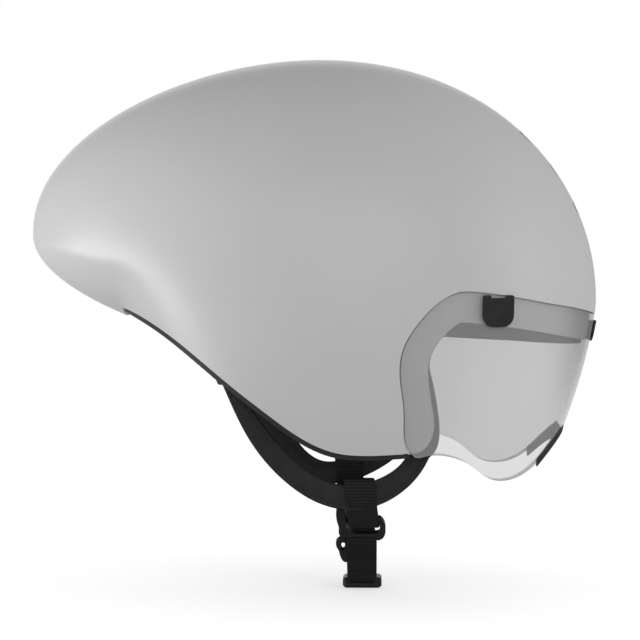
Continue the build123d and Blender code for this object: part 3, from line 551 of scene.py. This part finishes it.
satin_paint, tools, shader = new_finish("satin_paint", Base_Color=(0.60, 0.60, 0.595),
                                        Roughness=0.42, Coat_Weight=0.25, Coat_Roughness=0.3)
where = in_place(tools)
cloud = speckle(tools, where, 60, 3.0)
feed(tools, shader,
     Base_Color=cloud.over(0.3, 0.7).blend((0.592, 0.592, 0.589), (0.606, 0.606, 0.603)),
     Roughness=speckle(tools, where, 14, 3.0) * 0.06 + 0.39,
     Normal=relief(tools, speckle(tools, where, 1.6, 1.0), 0.06, 0.02))
spots, faces = form_grid(form_stations, form_turns)
spots, faces, keep = divided(spots, faces, outline_value(shell_outline, step_start_x))
spots, faces, keep = divided(spots, faces[keep], vent_value)
faces = faces[keep]
ring_outline, seat_outline = lens_outline(seat_gap + shell_wall), lens_outline(seat_gap)
spots, faces, _ = divided(spots, faces, outline_value(ring_outline))
spots, faces, _ = divided(spots, faces, outline_value(seat_outline))
middle = form_at(spots[:, 0], spots[:, 1], np.zeros(len(spots)))[faces].mean(1)
in_ring = depth_inside(ring_outline, middle[:, 0], middle[:, 2]) > 0
in_seat = depth_inside(seat_outline, middle[:, 0], middle[:, 2]) > 0
shell = thick_skin("shell_skin", spots, faces, np.where(in_seat, seat_depth, 0.0),
                   np.where(in_ring, seat_depth + shell_wall, shell_wall), satin_paint)
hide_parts("outer_shell")
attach(shell, "helmet")

# Visor: one clear wrap lens of even thickness, slightly smoke tinted, hard coated and polished.
# The tint sits in its outer face. Its edge walls are painted darker than its faces, a painted
# shade.
clear_lens, tools, shader = new_finish("clear_lens", Base_Color=(0.56, 0.56, 0.558),
                                       Roughness=0.12, IOR=1.45, Alpha=0.42,
                                       Specular_IOR_Level=0.15)
where = in_place(tools)
# Marks for the painted shade on the edge walls and for the tint's share on each face.
edge_shade, tint = [tools.node("ShaderNodeAttribute", {"attribute_name": name}, output="Fac")
              for name in ("edge", "tint")]
# Painted shade: the lens is painted darker and denser towards its front, where it is seen edge on.
front = where.parts()[0].over(100 * mm, 126 * mm)
clear = front.blend((0.57, 0.57, 0.568), (0.24, 0.24, 0.239))
feed(tools, shader, Base_Color=edge_shade.blend(clear, (0.20, 0.20, 0.20)),
     Alpha=front * 0.10 + tint,
     Roughness=speckle(tools, where, 9, 2.0) * 0.05 + 0.10)
spots, faces = form_grid(form_stations, form_turns)
spots, faces, keep = divided(spots, faces, outline_value(lens_outline(0)))
faces = faces[keep]
flat = np.zeros(len(faces))
visor = thick_skin("visor_shield", spots, faces, flat, flat + lens_wall, clear_lens)
edge_faces = len(visor.data.polygons) - 2 * len(faces)
# The edge walls get the painted shade; the tint is the share of cover on each face and wall.
for name, outside, inside, edge in (("edge", 0.0, 0.0, 1.0), ("tint", 0.42, 0.05, 0.6)):
    values = visor.data.attributes.new(name, "FLOAT", "FACE")
    values.data.foreach_set("value", [outside] * len(faces) + [inside] * len(faces)
                            + [edge] * edge_faces)
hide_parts("visor_lens")
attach(visor, "visor")

# Dark moulded parts with a fine spark-eroded grain: the trim under the rim, the frame of the vents,
# the sleeve of the outlet, the clamps and pins in the foam, and the housing with its dial.


def dress(material, *names):
    # CAD pieces whose shape is right get their finish.
    for name in names:
        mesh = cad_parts[name].data
        mesh.materials.clear()
        mesh.materials.append(material)


grained_plastic, tools, shader = new_finish("grained_plastic", Base_Color=(0.012, 0.012, 0.0125),
                                            Roughness=0.55)
where = in_place(tools)
grain = speckle(tools, where, 0.5, 2.0)
feed(tools, shader,
     Base_Color=speckle(tools, where, 12, 3.0).over(0.3, 0.7).blend((0.009, 0.009, 0.0095),
                                                                   (0.015, 0.015, 0.0155)),
     Roughness=grain * 0.2 + 0.48, Normal=relief(tools, grain, 0.35, 0.12))
dress(grained_plastic, "rim_trim", "vent_frame", "exhaust_duct", "strap_anchor_front_left",
      "strap_anchor_front_right", "strap_anchor_rear_left", "strap_anchor_rear_right",
      "temple_pin_left", "temple_pin_right", "dial_housing", "housing_cover", "dial_pinion",
      "dial_knob")

# Foam liner: moulded from expanded beads, whose outlines still show on its skin. It is bonded into
# the shell and shows black inside the rim.


def cells(tools, where, size, feature="F1", randomness=1.0):
    # Distance from the middle of packed cells of a given size in millimetres.
    return tools.node("ShaderNodeTexVoronoi", {"feature": feature},
                      {"Vector": where, "Scale": 1 / (size * mm), "Randomness": randomness})


bead_foam, tools, shader = new_finish("bead_foam", Base_Color=(0.045, 0.045, 0.047),
                                      Roughness=0.8)
where = in_place(tools)
bead = cells(tools, where, 3.4)
feed(tools, shader,
     Base_Color=bead.over(0.15, 0.6).blend((0.016, 0.016, 0.0165), (0.008, 0.008, 0.0085)),
     Roughness=speckle(tools, where, 3.0) * 0.15 + 0.72,
     Normal=relief(tools, 1 - bead, 0.6, 0.25))
dress(bead_foam, "foam_liner")

# Comfort pads: thin foam in a knitted cover, held inside the cavity by hook tape. Each one swells
# between its welded edges.
pad_knit, tools, shader = new_finish("pad_knit", Base_Color=(0.014, 0.014, 0.015), Roughness=0.9,
                                     Sheen_Weight=0.25, Sheen_Roughness=0.5)
where = in_place(tools)
loops = cells(tools, where, 1.4, "SMOOTH_F1", 0.25)
feed(tools, shader,
     Base_Color=loops.over(0.2, 0.7).blend((0.020, 0.020, 0.021), (0.006, 0.006, 0.0065)),
     Roughness=speckle(tools, where, 5.0) * 0.2 + 0.75,
     Normal=relief(tools, 1 - loops, 0.7, 0.35))
cavity_sizes = (100.0, 80.0, 90.0)
pad_wall = 4.4
pad_gap = 0.15
pad_corner_share = 0.14
pad_edge_share = 0.35


def faced_out(piece):
    # Turns the faces of a closed piece outwards.
    mesh = bmesh.new()
    mesh.from_mesh(piece.data)
    bmesh.ops.recalc_face_normals(mesh, faces=mesh.faces)
    mesh.to_mesh(piece.data)
    mesh.free()
    return piece


def puffed_pad(name, corners, wall, sizes, crown=0.8):
    # A closed pad on the wall of the cavity, by its corners: degrees round it and millimetres up
    # it, or for the crown pad degrees along and across it.
    (turn_low, turn_high), (rise_low, rise_high) = corners
    rows, columns = 22, 34
    across, up = np.meshgrid(np.linspace(-1, 1, columns), np.linspace(-1, 1, rows))
    turn_mid, turn_half = radians(turn_low + turn_high) / 2, radians(turn_high - turn_low) / 2
    rise_mid, rise_half = (rise_low + rise_high) / 2, (rise_high - rise_low) / 2
    turn = turn_mid + across * np.sqrt(1 - pad_corner_share * up ** 4) * turn_half
    rise = rise_mid + up * np.sqrt(1 - pad_corner_share * across ** 4) * rise_half
    swell = ((1 - across ** 6) * (1 - up ** 6)).clip(0) ** 0.5
    surfaces = []
    filled = pad_edge_share + (1 - pad_edge_share) * swell
    for inset in (np.full(swell.shape, pad_gap), wall * filled + crown * swell ** 2 - crown):
        size = np.array(sizes)[:, None, None] - inset
        if name == "crown_pad":
            x = np.sin(turn) * size[0]
            y = np.sin(np.radians(rise)) * size[1]
            z = np.sqrt((1 - (x / size[0]) ** 2 - (y / size[1]) ** 2).clip(0)) * size[2]
        else:
            z = rise
            flat = np.where(z > 0, np.sqrt((1 - (z / size[2]) ** 2).clip(0)), 1.0)
            x, y = np.cos(turn) * size[0] * flat, np.sin(turn) * size[1] * flat
        surfaces.append(np.stack([x, y, z], -1).reshape(-1, 3))
    count = rows * columns
    faces = []
    for i in range(rows - 1):
        for j in range(columns - 1):
            a, b, c, d = (i * columns + j, i * columns + j + 1,
                          (i + 1) * columns + j + 1, (i + 1) * columns + j)
            faces += [(a, b, c, d), (d + count, c + count, b + count, a + count)]
    rim = ([j for j in range(columns)] + [i * columns + columns - 1 for i in range(1, rows)]
           + [(rows - 1) * columns + j for j in range(columns - 2, -1, -1)]
           + [i * columns for i in range(rows - 2, 0, -1)])
    for k, a in enumerate(rim):
        b = rim[(k + 1) % len(rim)]
        faces.append((b, a, a + count, b + count))
    return faced_out(new_piece(name + "_cover", np.concatenate(surfaces), faces, pad_knit))


pad_corners = {
    "forehead_pad": ((-34.5, 34.5), (-9.5, 19.5)),
    "crown_pad": ((-28.0, 28.0), (-10.5, 10.5)),
    "side_pad_left": ((64.0, 111.5), (12.5, 45.5)),
    "side_pad_right": ((-111.5, -64.0), (12.5, 45.5)),
    "rear_pad_left": ((133.5, 157.0), (12.5, 45.5)),
    "rear_pad_right": ((-157.0, -133.5), (12.5, 45.5)),
}
for name, corners in pad_corners.items():
    pad = puffed_pad(name, corners, pad_wall, cavity_sizes)
    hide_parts(name)
    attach(pad, "helmet")

# Side bands: soft padded straps of smooth artificial leather, turned over and sewn at both edges.
# They hang round each ear from the foam.
band_hide, tools, shader = new_finish("band_hide", Base_Color=(0.017, 0.017, 0.0175),
                                      Roughness=0.62, Specular_IOR_Level=0.4)
where = in_place(tools)
pebble = cells(tools, where, 0.9, "SMOOTH_F1")
crease = speckle(tools, where, 7.0, 4.0)
feed(tools, shader,
     Base_Color=crease.over(0.3, 0.7).blend((0.009, 0.009, 0.0095), (0.014, 0.014, 0.0145)),
     Roughness=pebble * 0.25 + 0.52,
     Normal=relief(tools, pebble + crease * 1.5, 0.45, 0.16))
band_thread, tools, shader = new_finish("band_thread", Base_Color=(0.03, 0.03, 0.031),
                                        Roughness=0.6)
feed(tools, shader, Base_Color=speckle(tools, in_place(tools), 0.6).blend(
    (0.02, 0.02, 0.021), (0.04, 0.04, 0.041)))
band_outer_shares = [(-0.317, -0.333), (-0.259, -0.514), (-0.196, -0.685), (-0.082, -0.870),
                     (0.062, -0.987), (0.184, -1.000), (0.305, -0.928), (0.388, -0.801),
                     (0.421, -0.667)]
band_inner_shares = [(0.340, -0.667), (0.314, -0.781), (0.219, -0.868), (0.110, -0.888),
                     (0.020, -0.845), (-0.089, -0.717), (-0.161, -0.592), (-0.239, -0.370)]
band_wall = 2.4
band_top_y = 75.6
band_top_z = -50.0
band_lean = radians(5.0)
band_rows = 121
band_ring = 36
band_swell_share = 0.22
far_sway = (-15.0, 0.0)
sway_powers = (1.3, 2.5)
seam_groove = 0.22
stitch_pitch = 3.0
stitch_inset = 1.7
stitch_sink = 0.08
thread_radius = 0.22
seam_ends = 8


def even(curve, count):
    # The same curve with evenly spaced points.
    s = np.concatenate([[0], np.cumsum(np.linalg.norm(np.diff(curve, axis=0), axis=1))])
    t = np.linspace(0, s[-1], count)
    return np.stack([np.interp(t, s, curve[:, k]) for k in range(curve.shape[1])], 1)


def band_space(x, z, out, side):
    # A point of the band's leaning plane, side -1 for the right one, lifted outwards.
    y = band_top_y + (z - band_top_z) * tan(band_lean)
    return np.stack([x, side * (y + out * cos(band_lean)), z - out * sin(band_lean)], -1)


def band_lines(side):
    # The two edges of a band from the rear to the front; the far one hangs a little further back.
    outer = even(drawn(side_points(band_outer_shares)), band_rows)
    inner = even(drawn(side_points(band_inner_shares))[::-1], band_rows)
    share = np.linspace(0, 1, band_rows)[:, None]
    outer_sway, inner_sway = [np.sin(pi * share ** late) * (side > 0) for late in sway_powers]
    return outer + outer_sway * far_sway, inner + inner_sway * far_sway


def tube_faces(rows, ring, closed=False):
    # Faces between rings of points, with both ends covered unless the tube runs back into itself.
    faces = []
    for k in range(rows if closed else rows - 1):
        after = (k + 1) % rows
        for j in range(ring):
            n = (j + 1) % ring
            faces.append((k * ring + j, k * ring + n, after * ring + n, after * ring + j))
    if not closed:
        faces += [tuple(range(ring))[::-1], tuple((rows - 1) * ring + j for j in range(ring))]
    return faces


def stitch_tree():
    # Threads laid end to end along a line.
    tree = bpy.data.node_groups.new("seam_thread", "GeometryNodeTree")
    face = tree.interface
    face.new_socket("Seam", in_out="INPUT", socket_type="NodeSocketGeometry")
    for label, value in (("Pitch", stitch_pitch * mm), ("Thread", thread_radius * mm)):
        face.new_socket(label, in_out="INPUT", socket_type="NodeSocketFloat").default_value = value
    face.new_socket("Finish", in_out="INPUT", socket_type="NodeSocketMaterial")
    face.new_socket("Seam", in_out="OUTPUT", socket_type="NodeSocketGeometry")
    tools = Finish(tree)
    given = tree.nodes.new("NodeGroupInput")
    seam, pitch, thread, material = [Finish(tree, given.outputs[k]) for k in range(4)]
    curve = tools.node("GeometryNodeMeshToCurve", {}, {0: seam})
    spaced = tools.node("GeometryNodeResampleCurve", {"mode": "LENGTH"},
                        {"Curve": curve, "Length": pitch})
    bead = tools.node("GeometryNodeMeshUVSphere", {}, {"Segments": 8, "Rings": 6, "Radius": 1.0})
    stretch = tools.node("ShaderNodeCombineXYZ", {}, {0: thread, 1: thread * 0.8, 2: pitch * 0.4})
    long_bead = tools.node("GeometryNodeTransform", {}, {"Geometry": bead, "Scale": stretch})
    tangent = tools.node("GeometryNodeInputTangent")
    turn = tools.node("FunctionNodeAlignRotationToVector", {"axis": "Z"}, {"Vector": tangent})
    placed = tools.node("GeometryNodeInstanceOnPoints", {},
                        {"Points": spaced, "Instance": long_bead, "Rotation": turn})
    real = tools.node("GeometryNodeRealizeInstances", {}, {0: placed})
    done = tools.node("GeometryNodeSetMaterial", {}, {"Geometry": real, "Material": material})
    out = tree.nodes.new("NodeGroupOutput")
    tree.links.new(done.socket, out.inputs[0])
    return tree


def sewn(name, lines, tree, material):
    # Stitches along lines, as one plain mesh.
    points, edges = [], []
    for line in lines:
        start = len(points)
        points += (np.asarray(line) * mm).tolist()
        edges += [(start + k, start + k + 1) for k in range(len(line) - 1)]
    mesh = bpy.data.meshes.new(name)
    mesh.from_pydata(points, edges, [])
    piece = bpy.data.objects.new(name, mesh)
    bpy.context.scene.collection.objects.link(piece)
    modifier = piece.modifiers.new("thread", "NODES")
    modifier.node_group = tree
    for item in tree.interface.items_tree:
        if item.in_out == "INPUT" and item.name == "Finish":
            modifier[item.identifier] = material
    bpy.context.view_layer.update()
    made = piece.evaluated_get(bpy.context.evaluated_depsgraph_get())
    plain = bpy.data.meshes.new_from_object(made)
    piece.modifiers.clear()
    piece.data = plain
    plain.polygons.foreach_set("use_smooth", [True] * len(plain.polygons))
    return piece


seam_tree = stitch_tree()
for side, word in ((-1, "right"), (1, "left")):
    outer, inner = band_lines(side)
    angle = 2 * pi * np.arange(band_ring) / band_ring
    share = 0.5 - 0.5 * np.sign(np.cos(angle)) * np.abs(np.cos(angle)) ** 0.75
    thick = np.sign(np.sin(angle)) * np.abs(np.sin(angle)) ** 0.35
    points = []
    for k in range(band_rows):
        width = np.linalg.norm(outer[k] - inner[k])
        flat = inner[k] + (outer[k] - inner[k]) * share[:, None]
        edge_gap = np.minimum(share, 1 - share) * width
        bulge = band_swell_share * np.exp(-((share - 0.5) / 0.32) ** 2)
        swell = 1 + bulge * sin(pi * k / (band_rows - 1))
        groove = seam_groove * np.exp(-((edge_gap - stitch_inset) / 0.5) ** 2)
        out = thick * (band_wall / 2 * swell - groove)
        points.append(band_space(flat[:, 0], flat[:, 1], out, side))
    band = faced_out(new_piece("band_" + word, np.concatenate(points),
                               tube_faces(band_rows, band_ring), band_hide, sharp=60))
    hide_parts("side_band_" + word)
    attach(band, "helmet")
    seams = []
    for line, other in ((outer, inner), (inner, outer)):
        run = (other - line) / np.linalg.norm(other - line, axis=1)[:, None]
        path = (line + run * stitch_inset)[seam_ends:-seam_ends]
        for face in (1, -1):
            out = face * (band_wall / 2 - stitch_sink)
            seams.append(band_space(path[:, 0], path[:, 1], out, side))
    thread = sewn("band_seam_" + word, seams, seam_tree, band_thread)
    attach(thread, "helmet")

# Webbing: flat woven tape in which the ribs run across. One loop holds each band, the long piece
# goes under the chin from the buckle to the sewn tail on the left.
web_width = 15.0
web_wall = 1.4
chin_x = 6.5
chin_slope = radians(47.0)
chin_y = 70.0
chin_z = -98.0
chin_radius = 43.0
loop_z = -101.3
loop_half = 7.5
loop_gap = 0.1
loop_drop = 1.5
outer_lift = 1.0
inner_lift = 2.5
loop_lean = 0.7
far_shift = -8.0
apex_z = chin_z - chin_y * tan(chin_slope)
centre_z = apex_z + chin_radius / cos(chin_slope)
rib_pitch = 1.5
twill_pitch = 0.9
tape_points = 13
tape_weave, tools, shader = new_finish("tape_weave", Base_Color=(0.012, 0.012, 0.0125),
                                       Roughness=0.7, Specular_IOR_Level=0.3)
woven = tools.node("ShaderNodeUVMap", {"uv_map": "tape"}).parts()
across, along = woven[0], woven[1]
rib_turn, twill_turn = 2 * pi / rib_pitch, 2 * pi / twill_pitch
rib = (along * rib_turn).sine() * 0.5 + 0.5
twill = (across * twill_turn + along * rib_turn).sine() * 0.5 + 0.5
weave = rib * 0.75 + twill * 0.25
fuzz = speckle(tools, in_place(tools), 3.0, 3.0)
feed(tools, shader,
     Base_Color=weave.over(0.15, 0.8).blend((0.002, 0.002, 0.0022), (0.012, 0.012, 0.0125)),
     Roughness=fuzz * 0.2 + 0.6, Normal=relief(tools, weave, 0.8, 0.3))


def chin_point(along, side=-1):
    # A point of the chin line, side -1 for its right half.
    return side * (chin_y - along * cos(chin_slope)), chin_z - along * sin(chin_slope)


def tape(name, path, x_shift, closed=False):
    # A flat tape across X that follows a path in the YZ plane, with its lengths kept for the weave.
    path = np.array(path, float)
    count = len(path)
    if closed:
        run = np.roll(path, -1, 0) - np.roll(path, 1, 0)
    else:
        run = np.gradient(path, axis=0)
    run /= np.linalg.norm(run, axis=1)[:, None]
    lift = np.stack([-run[:, 1], run[:, 0]], 1)
    steps = np.linalg.norm(np.diff(path, axis=0), axis=1)
    length = np.concatenate([[0], np.cumsum(steps)])
    edge = np.linspace(-1, 1, tape_points)
    edge = np.concatenate([edge, edge[::-1]])
    face = np.concatenate([np.ones(tape_points), -np.ones(tape_points)])
    soft = face * (1 - 0.45 * np.abs(edge) ** 14)
    points, marks = [], []
    for k in range(count):
        for e, f in zip(edge, soft):
            out = lift[k] * f * web_wall / 2
            points.append((chin_x + x_shift[k] + e * web_width / 2, path[k, 0] + out[0],
                           path[k, 1] + out[1]))
            marks.append((e * web_width / 2, length[k]))
    piece = new_piece(name, points, tube_faces(count, len(edge), closed), tape_weave, sharp=70)
    layer = piece.data.uv_layers.new(name="tape")
    total = length[-1] + (np.linalg.norm(path[-1] - path[0]) if closed else 0)
    for polygon in piece.data.polygons:
        spots = [piece.data.loops[k].vertex_index for k in polygon.loop_indices]
        high = max(marks[v][1] for v in spots)
        for k, v in zip(polygon.loop_indices, spots):
            u, w = marks[v]
            layer.data[k].uv = (u, w + total if closed and high - w > total / 2 else w)
    return faced_out(piece)


def softened(path, rounds):
    # A closed way whose corners are cut again and again.
    path = np.array(path, float)
    for _ in range(rounds):
        after = np.roll(path, -1, 0)
        path = np.stack([path * 0.75 + after * 0.25, path * 0.25 + after * 0.75], 1).reshape(-1, 2)
    return path


def loop_path(side, bar_along, bar_radius):
    # Down the outer face of the band, round the bar below and up its inner face, a closed way.
    off = band_wall / 2 * (1 + band_swell_share) + web_wall / 2 + loop_gap
    turn = bar_radius + web_wall / 2
    low_z, top_z = loop_z - loop_half, loop_z + loop_half - loop_drop

    def face(z, out):
        return band_top_y + (z - band_top_z) * tan(band_lean) + out

    foot, bar = np.array([face(low_z, 0), low_z]), np.array(chin_point(bar_along, 1))
    run = (bar - foot) / np.linalg.norm(bar - foot)
    down = np.array([-run[1], run[0]])
    path = [(face(top_z, off * cos(a)), top_z + off * sin(a)) for a in np.linspace(pi, 0, 9)]
    outer_z, inner_z = low_z + outer_lift, low_z + inner_lift
    path += [(face(outer_z, off), outer_z)]
    path += [bar + turn * (down * cos(a) + run * sin(a)) for a in np.linspace(0, pi, 9)]
    return softened(path + [(face(inner_z, -off), inner_z)], 3) * (side, 1)


for side, word, bar_reach, bar_radius, shift in ((-1, "right", 25.0, 1.6, 0.0),
                                                 (1, "left", 20.0, 0.7, far_shift)):
    path = loop_path(side, bar_reach, bar_radius)
    lean = (loop_z - path[:, 1]) / loop_half * loop_lean
    loop = tape("web_loop_" + word, path, lean + shift, closed=True)
    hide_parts("strap_loop_" + word)
    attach(loop, "helmet")

# Chin webbing: it turns round the bar of the buckle's tongue, runs under the chin and ends in a
# tail that is box stitched to the left loop.
bar_along = 38.6
bar_turn = 1.75 + web_wall / 2
tuck = (bar_along + 2.2, -1.5)
front_lifts = [(42.0, 2.45), (46.0, 2.45), (50.0, 2.4), (53.0, 2.0), (56.0, 1.2), (59.0, 0.5)]
arc_start = radians(-40)
tail_along = (54.0, 20.6)
give_end = 1.0
box_half = 5.5
box_top = 21.4
box_foot = 26.4
box_lift = 0.85


def beside(along, off):
    # A point beside the right half of the chin line, lifted off it on the outer side.
    y, z = chin_point(along)
    return y - off * sin(chin_slope), z - off * cos(chin_slope)


chin_path = [beside(*tuck)]
chin_path += [beside(bar_along - bar_turn * sin(a), -bar_turn * cos(a))
              for a in np.linspace(radians(10), radians(170), 13)]
chin_path += [beside(along, off) for along, off in front_lifts]
chin_path += [(chin_radius * sin(a), centre_z - chin_radius * cos(a))
              for a in np.linspace(arc_start, chin_slope, 38)]
chin_path += [chin_point(along, 1) for along in np.linspace(*tail_along, 22)]
far_share = (np.array(chin_path)[:, 0] / chin_y).clip(0, 1)
chin_tape = tape("chin_tape", chin_path, far_shift * step_share((far_share - 0.5) / 0.3))
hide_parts("chin_webbing")
end_y, end_z = beside(bar_along + give_end, 0)
end_y * mm
end_z * mm
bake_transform(chin_tape)
tail_marks = []
for off in (box_lift, -box_lift):
    seam = []
    for x, along in ((-box_half, box_top), (box_half, box_top), (box_half, box_foot),
                     (-box_half, box_foot), (-box_half, box_top), (box_half, box_foot)):
        y, z = chin_point(along, 1)
        seam.append((chin_x + far_shift + x, y + off * sin(chin_slope),
                     z - off * cos(chin_slope)))
    tail_marks.append(seam)
tail_seam = sewn("tail_seam", tail_marks, seam_tree, band_thread)
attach(tail_seam, "helmet")

# Buckle and slider: moulded nylon with a satin face. Socket and tongue are open frames with a bar
# for the webbing, and two prongs on the tongue catch behind the socket's bar.
edge_share = 0.16
buckle_nylon, tools, shader = new_finish("buckle_nylon", Base_Color=(0.011, 0.011, 0.0115),
                                         Roughness=0.4, Specular_IOR_Level=0.35)
where = in_place(tools)
grain = speckle(tools, where, 0.35, 2.0)
feed(tools, shader,
     Base_Color=speckle(tools, where, 6, 3.0).over(0.35, 0.7).blend(
         (0.007, 0.007, 0.0075), (0.013, 0.013, 0.0135)),
     Roughness=grain * 0.22 + 0.32, Normal=relief(tools, grain, 0.25, 0.08))
dress(buckle_nylon, "strap_slider")


def moulding(name, layers):
    # Frames with rounded edges from outlines across and along the strap, each with its thickness.
    joined = bmesh.new()
    for wall, outlines in layers:
        curve = bpy.data.curves.new(name, "CURVE")
        curve.dimensions = "2D"
        curve.fill_mode = "BOTH"
        round_edge = wall * edge_share
        curve.extrude = wall / 2 - round_edge
        curve.bevel_depth = round_edge
        curve.bevel_resolution = 2
        curve.offset = -round_edge
        for outline in outlines:
            line = softened(outline, 2)
            spline = curve.splines.new("POLY")
            spline.points.add(len(line) - 1)
            spline.use_cyclic_u = True
            for point, (x, along) in zip(spline.points, line):
                point.co = (x, -along, 0, 1)
        flat = bpy.data.objects.new(name, curve)
        bpy.context.scene.collection.objects.link(flat)
        bpy.context.view_layer.update()
        made = flat.evaluated_get(bpy.context.evaluated_depsgraph_get())
        plain = bpy.data.meshes.new_from_object(made)
        joined.from_mesh(plain)
        bpy.data.objects.remove(flat)
        bpy.data.meshes.remove(plain)
    bmesh.ops.remove_doubles(joined, verts=joined.verts, dist=0.001)
    bmesh.ops.recalc_face_normals(joined, faces=joined.faces)
    for corner in joined.verts:
        x, along, off = corner.co.x, -corner.co.y, corner.co.z
        corner.co = Vector((chin_x + x, *beside(along, off))) * mm
    mesh = bpy.data.meshes.new(name)
    joined.to_mesh(mesh)
    joined.free()
    mesh.polygons.foreach_set("use_smooth", [True] * len(mesh.polygons))
    mesh.set_sharp_from_angle(angle=radians(35))
    mesh.materials.append(buckle_nylon)
    piece = bpy.data.objects.new(name, mesh)
    bpy.context.scene.collection.objects.link(piece)
    return piece


socket_frame = [(-12.6, 16.5), (-11.8, 14.4), (-8.6, 14.4), (-7.4, 16.5), (-7.4, 33.2), (8.4, 33.2),
                (9.5, 30.4), (9.4, 26.6), (7.8, 24.4), (7.8, 21.4), (9.8, 21.0), (12.1, 25.2),
                (12.4, 32.5), (10.8, 36.8), (8.0, 38.0), (6.6, 36.4), (-9.6, 36.4), (-11.6, 33.0),
                (-11.0, 28.8), (-12.3, 23.0)]
socket_bar = [(-9.6, 23.4), (9.6, 23.4), (9.6, 26.6), (-9.6, 26.6)]
socket = moulding("socket_frame", [(3.2, [socket_frame]), (2.8, [socket_bar])])
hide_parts("buckle_socket")
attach(socket, "helmet")
tongue_frame = [(-10.4, 36.6), (-12.9, 39.0), (-12.9, 43.0), (-11.5, 46.0), (-10.9, 51.0),
                (-9.4, 55.0), (-7.4, 55.4), (-6.4, 52.4), (6.4, 52.4), (7.6, 50.5), (7.8, 37.0),
                (6.0, 37.0), (6.0, 48.8), (-6.6, 48.8), (-6.6, 36.6)]
tongue_hole = [(-10.4, 39.8), (-8.0, 39.8), (-8.6, 45.8), (-10.0, 45.8)]
tongue_bar = [(-8.4, 37.1), (7.4, 37.1), (7.4, 40.1), (-8.4, 40.1)]
left_prong = [(-9.9, 39.5), (-11.2, 26.0), (-9.3, 24.5), (-8.3, 27.0), (-8.0, 39.5)]
right_prong = [(6.4, 38.0), (6.4, 34.0), (10.2, 33.4), (10.0, 27.4), (11.6, 27.4), (11.6, 35.0)]
tongue = moulding("tongue_frame", [(2.6, [tongue_frame, tongue_hole]), (2.4, [tongue_bar]),
                                   (1.6, [left_prong]), (1.6, [right_prong])])
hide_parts("buckle_tongue")
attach(tongue, "tongue")

# Fit belts, cradle and racks: bendable nylon with a smooth face. Two thin knitted pads on the
# cradle lie against the back of the head.
belt_nylon, tools, shader = new_finish("belt_nylon", Base_Color=(0.016, 0.016, 0.0165),
                                       Roughness=0.38)
where = in_place(tools)
feed(tools, shader,
     Base_Color=speckle(tools, where, 10, 3.0).over(0.35, 0.7).blend(
         (0.013, 0.013, 0.0135), (0.020, 0.020, 0.0205)),
     Roughness=speckle(tools, where, 2.0) * 0.2 + 0.3,
     Normal=relief(tools, speckle(tools, where, 0.6), 0.2, 0.08))
dress(belt_nylon, "belt_left", "belt_right", "cradle_yoke", "rack_left", "rack_right")
cradle_sizes = (91.0, 71.0, 1e4)
cradle_heights = (-13.8, 3.8)
cradle_pad_wall = 2.9
cradle_crown = 0.6
for word, corners in (("left", (145.8, 174.3)), ("right", (-174.3, -145.8))):
    pad = puffed_pad("cradle_pad_" + word, (corners, cradle_heights), cradle_pad_wall,
                     cradle_sizes, cradle_crown)
    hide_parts("cradle_pad_" + word)
    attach(pad, "cradle")

# Rivets and screws of zinc-plated steel, and nickel-plated magnets. The magnets of the visor meet
# those in the shell and hold it.
plated_steel, tools, shader = new_finish("plated_steel", Base_Color=(0.42, 0.42, 0.43),
                                         Metallic=1.0, Roughness=0.35)
where = in_place(tools)
brushed = speckle(tools, where, 0.8, 4.0)
feed(tools, shader,
     Base_Color=brushed.blend((0.36, 0.36, 0.37), (0.48, 0.48, 0.49)),
     Roughness=brushed * 0.25 + 0.25, Normal=relief(tools, brushed, 0.15, 0.03))
dress(plated_steel, "strap_rivets", "housing_screws")
nickel, tools, shader = new_finish("nickel", Base_Color=(0.58, 0.56, 0.53), Metallic=1.0,
                                   Roughness=0.22)
where = in_place(tools)
feed(tools, shader,
     Base_Color=speckle(tools, where, 3.0).blend((0.52, 0.50, 0.47), (0.64, 0.62, 0.59)),
     Roughness=speckle(tools, where, 1.2) * 0.15 + 0.15)
dress(nickel, "shell_magnet_left", "shell_magnet_right", "shell_magnet_centre",
      "visor_magnet_left", "visor_magnet_right", "visor_magnet_centre")

# Visor clips and nose trim: black satin mouldings on the lens, which cover the magnets, and a
# soft matt edging at the nose.
clip_satin, tools, shader = new_finish("clip_satin", Base_Color=(0.014, 0.014, 0.0145),
                                       Roughness=0.36, Specular_IOR_Level=0.3)
where = in_place(tools)
feed(tools, shader,
     Base_Color=speckle(tools, where, 5, 3.0).over(0.35, 0.7).blend(
         (0.013, 0.013, 0.0135), (0.020, 0.020, 0.0205)),
     Roughness=speckle(tools, where, 0.8) * 0.2 + 0.28,
     Normal=relief(tools, speckle(tools, where, 0.4), 0.2, 0.06))
dress(clip_satin, "visor_clip_left", "visor_clip_right", "visor_clip_centre")
edge_rubber, tools, shader = new_finish("edge_rubber", Base_Color=(0.008, 0.008, 0.008),
                                        Roughness=0.7)
where = in_place(tools)
feed(tools, shader,
     Base_Color=speckle(tools, where, 4, 3.0).blend((0.006, 0.006, 0.006), (0.011, 0.011, 0.011)),
     Roughness=speckle(tools, where, 1.0) * 0.15 + 0.62,
     Normal=relief(tools, speckle(tools, where, 0.7), 0.3, 0.1))
dress(edge_rubber, "nose_trim")

# Last: the view layer is brought up to date.
bpy.context.view_layer.update()
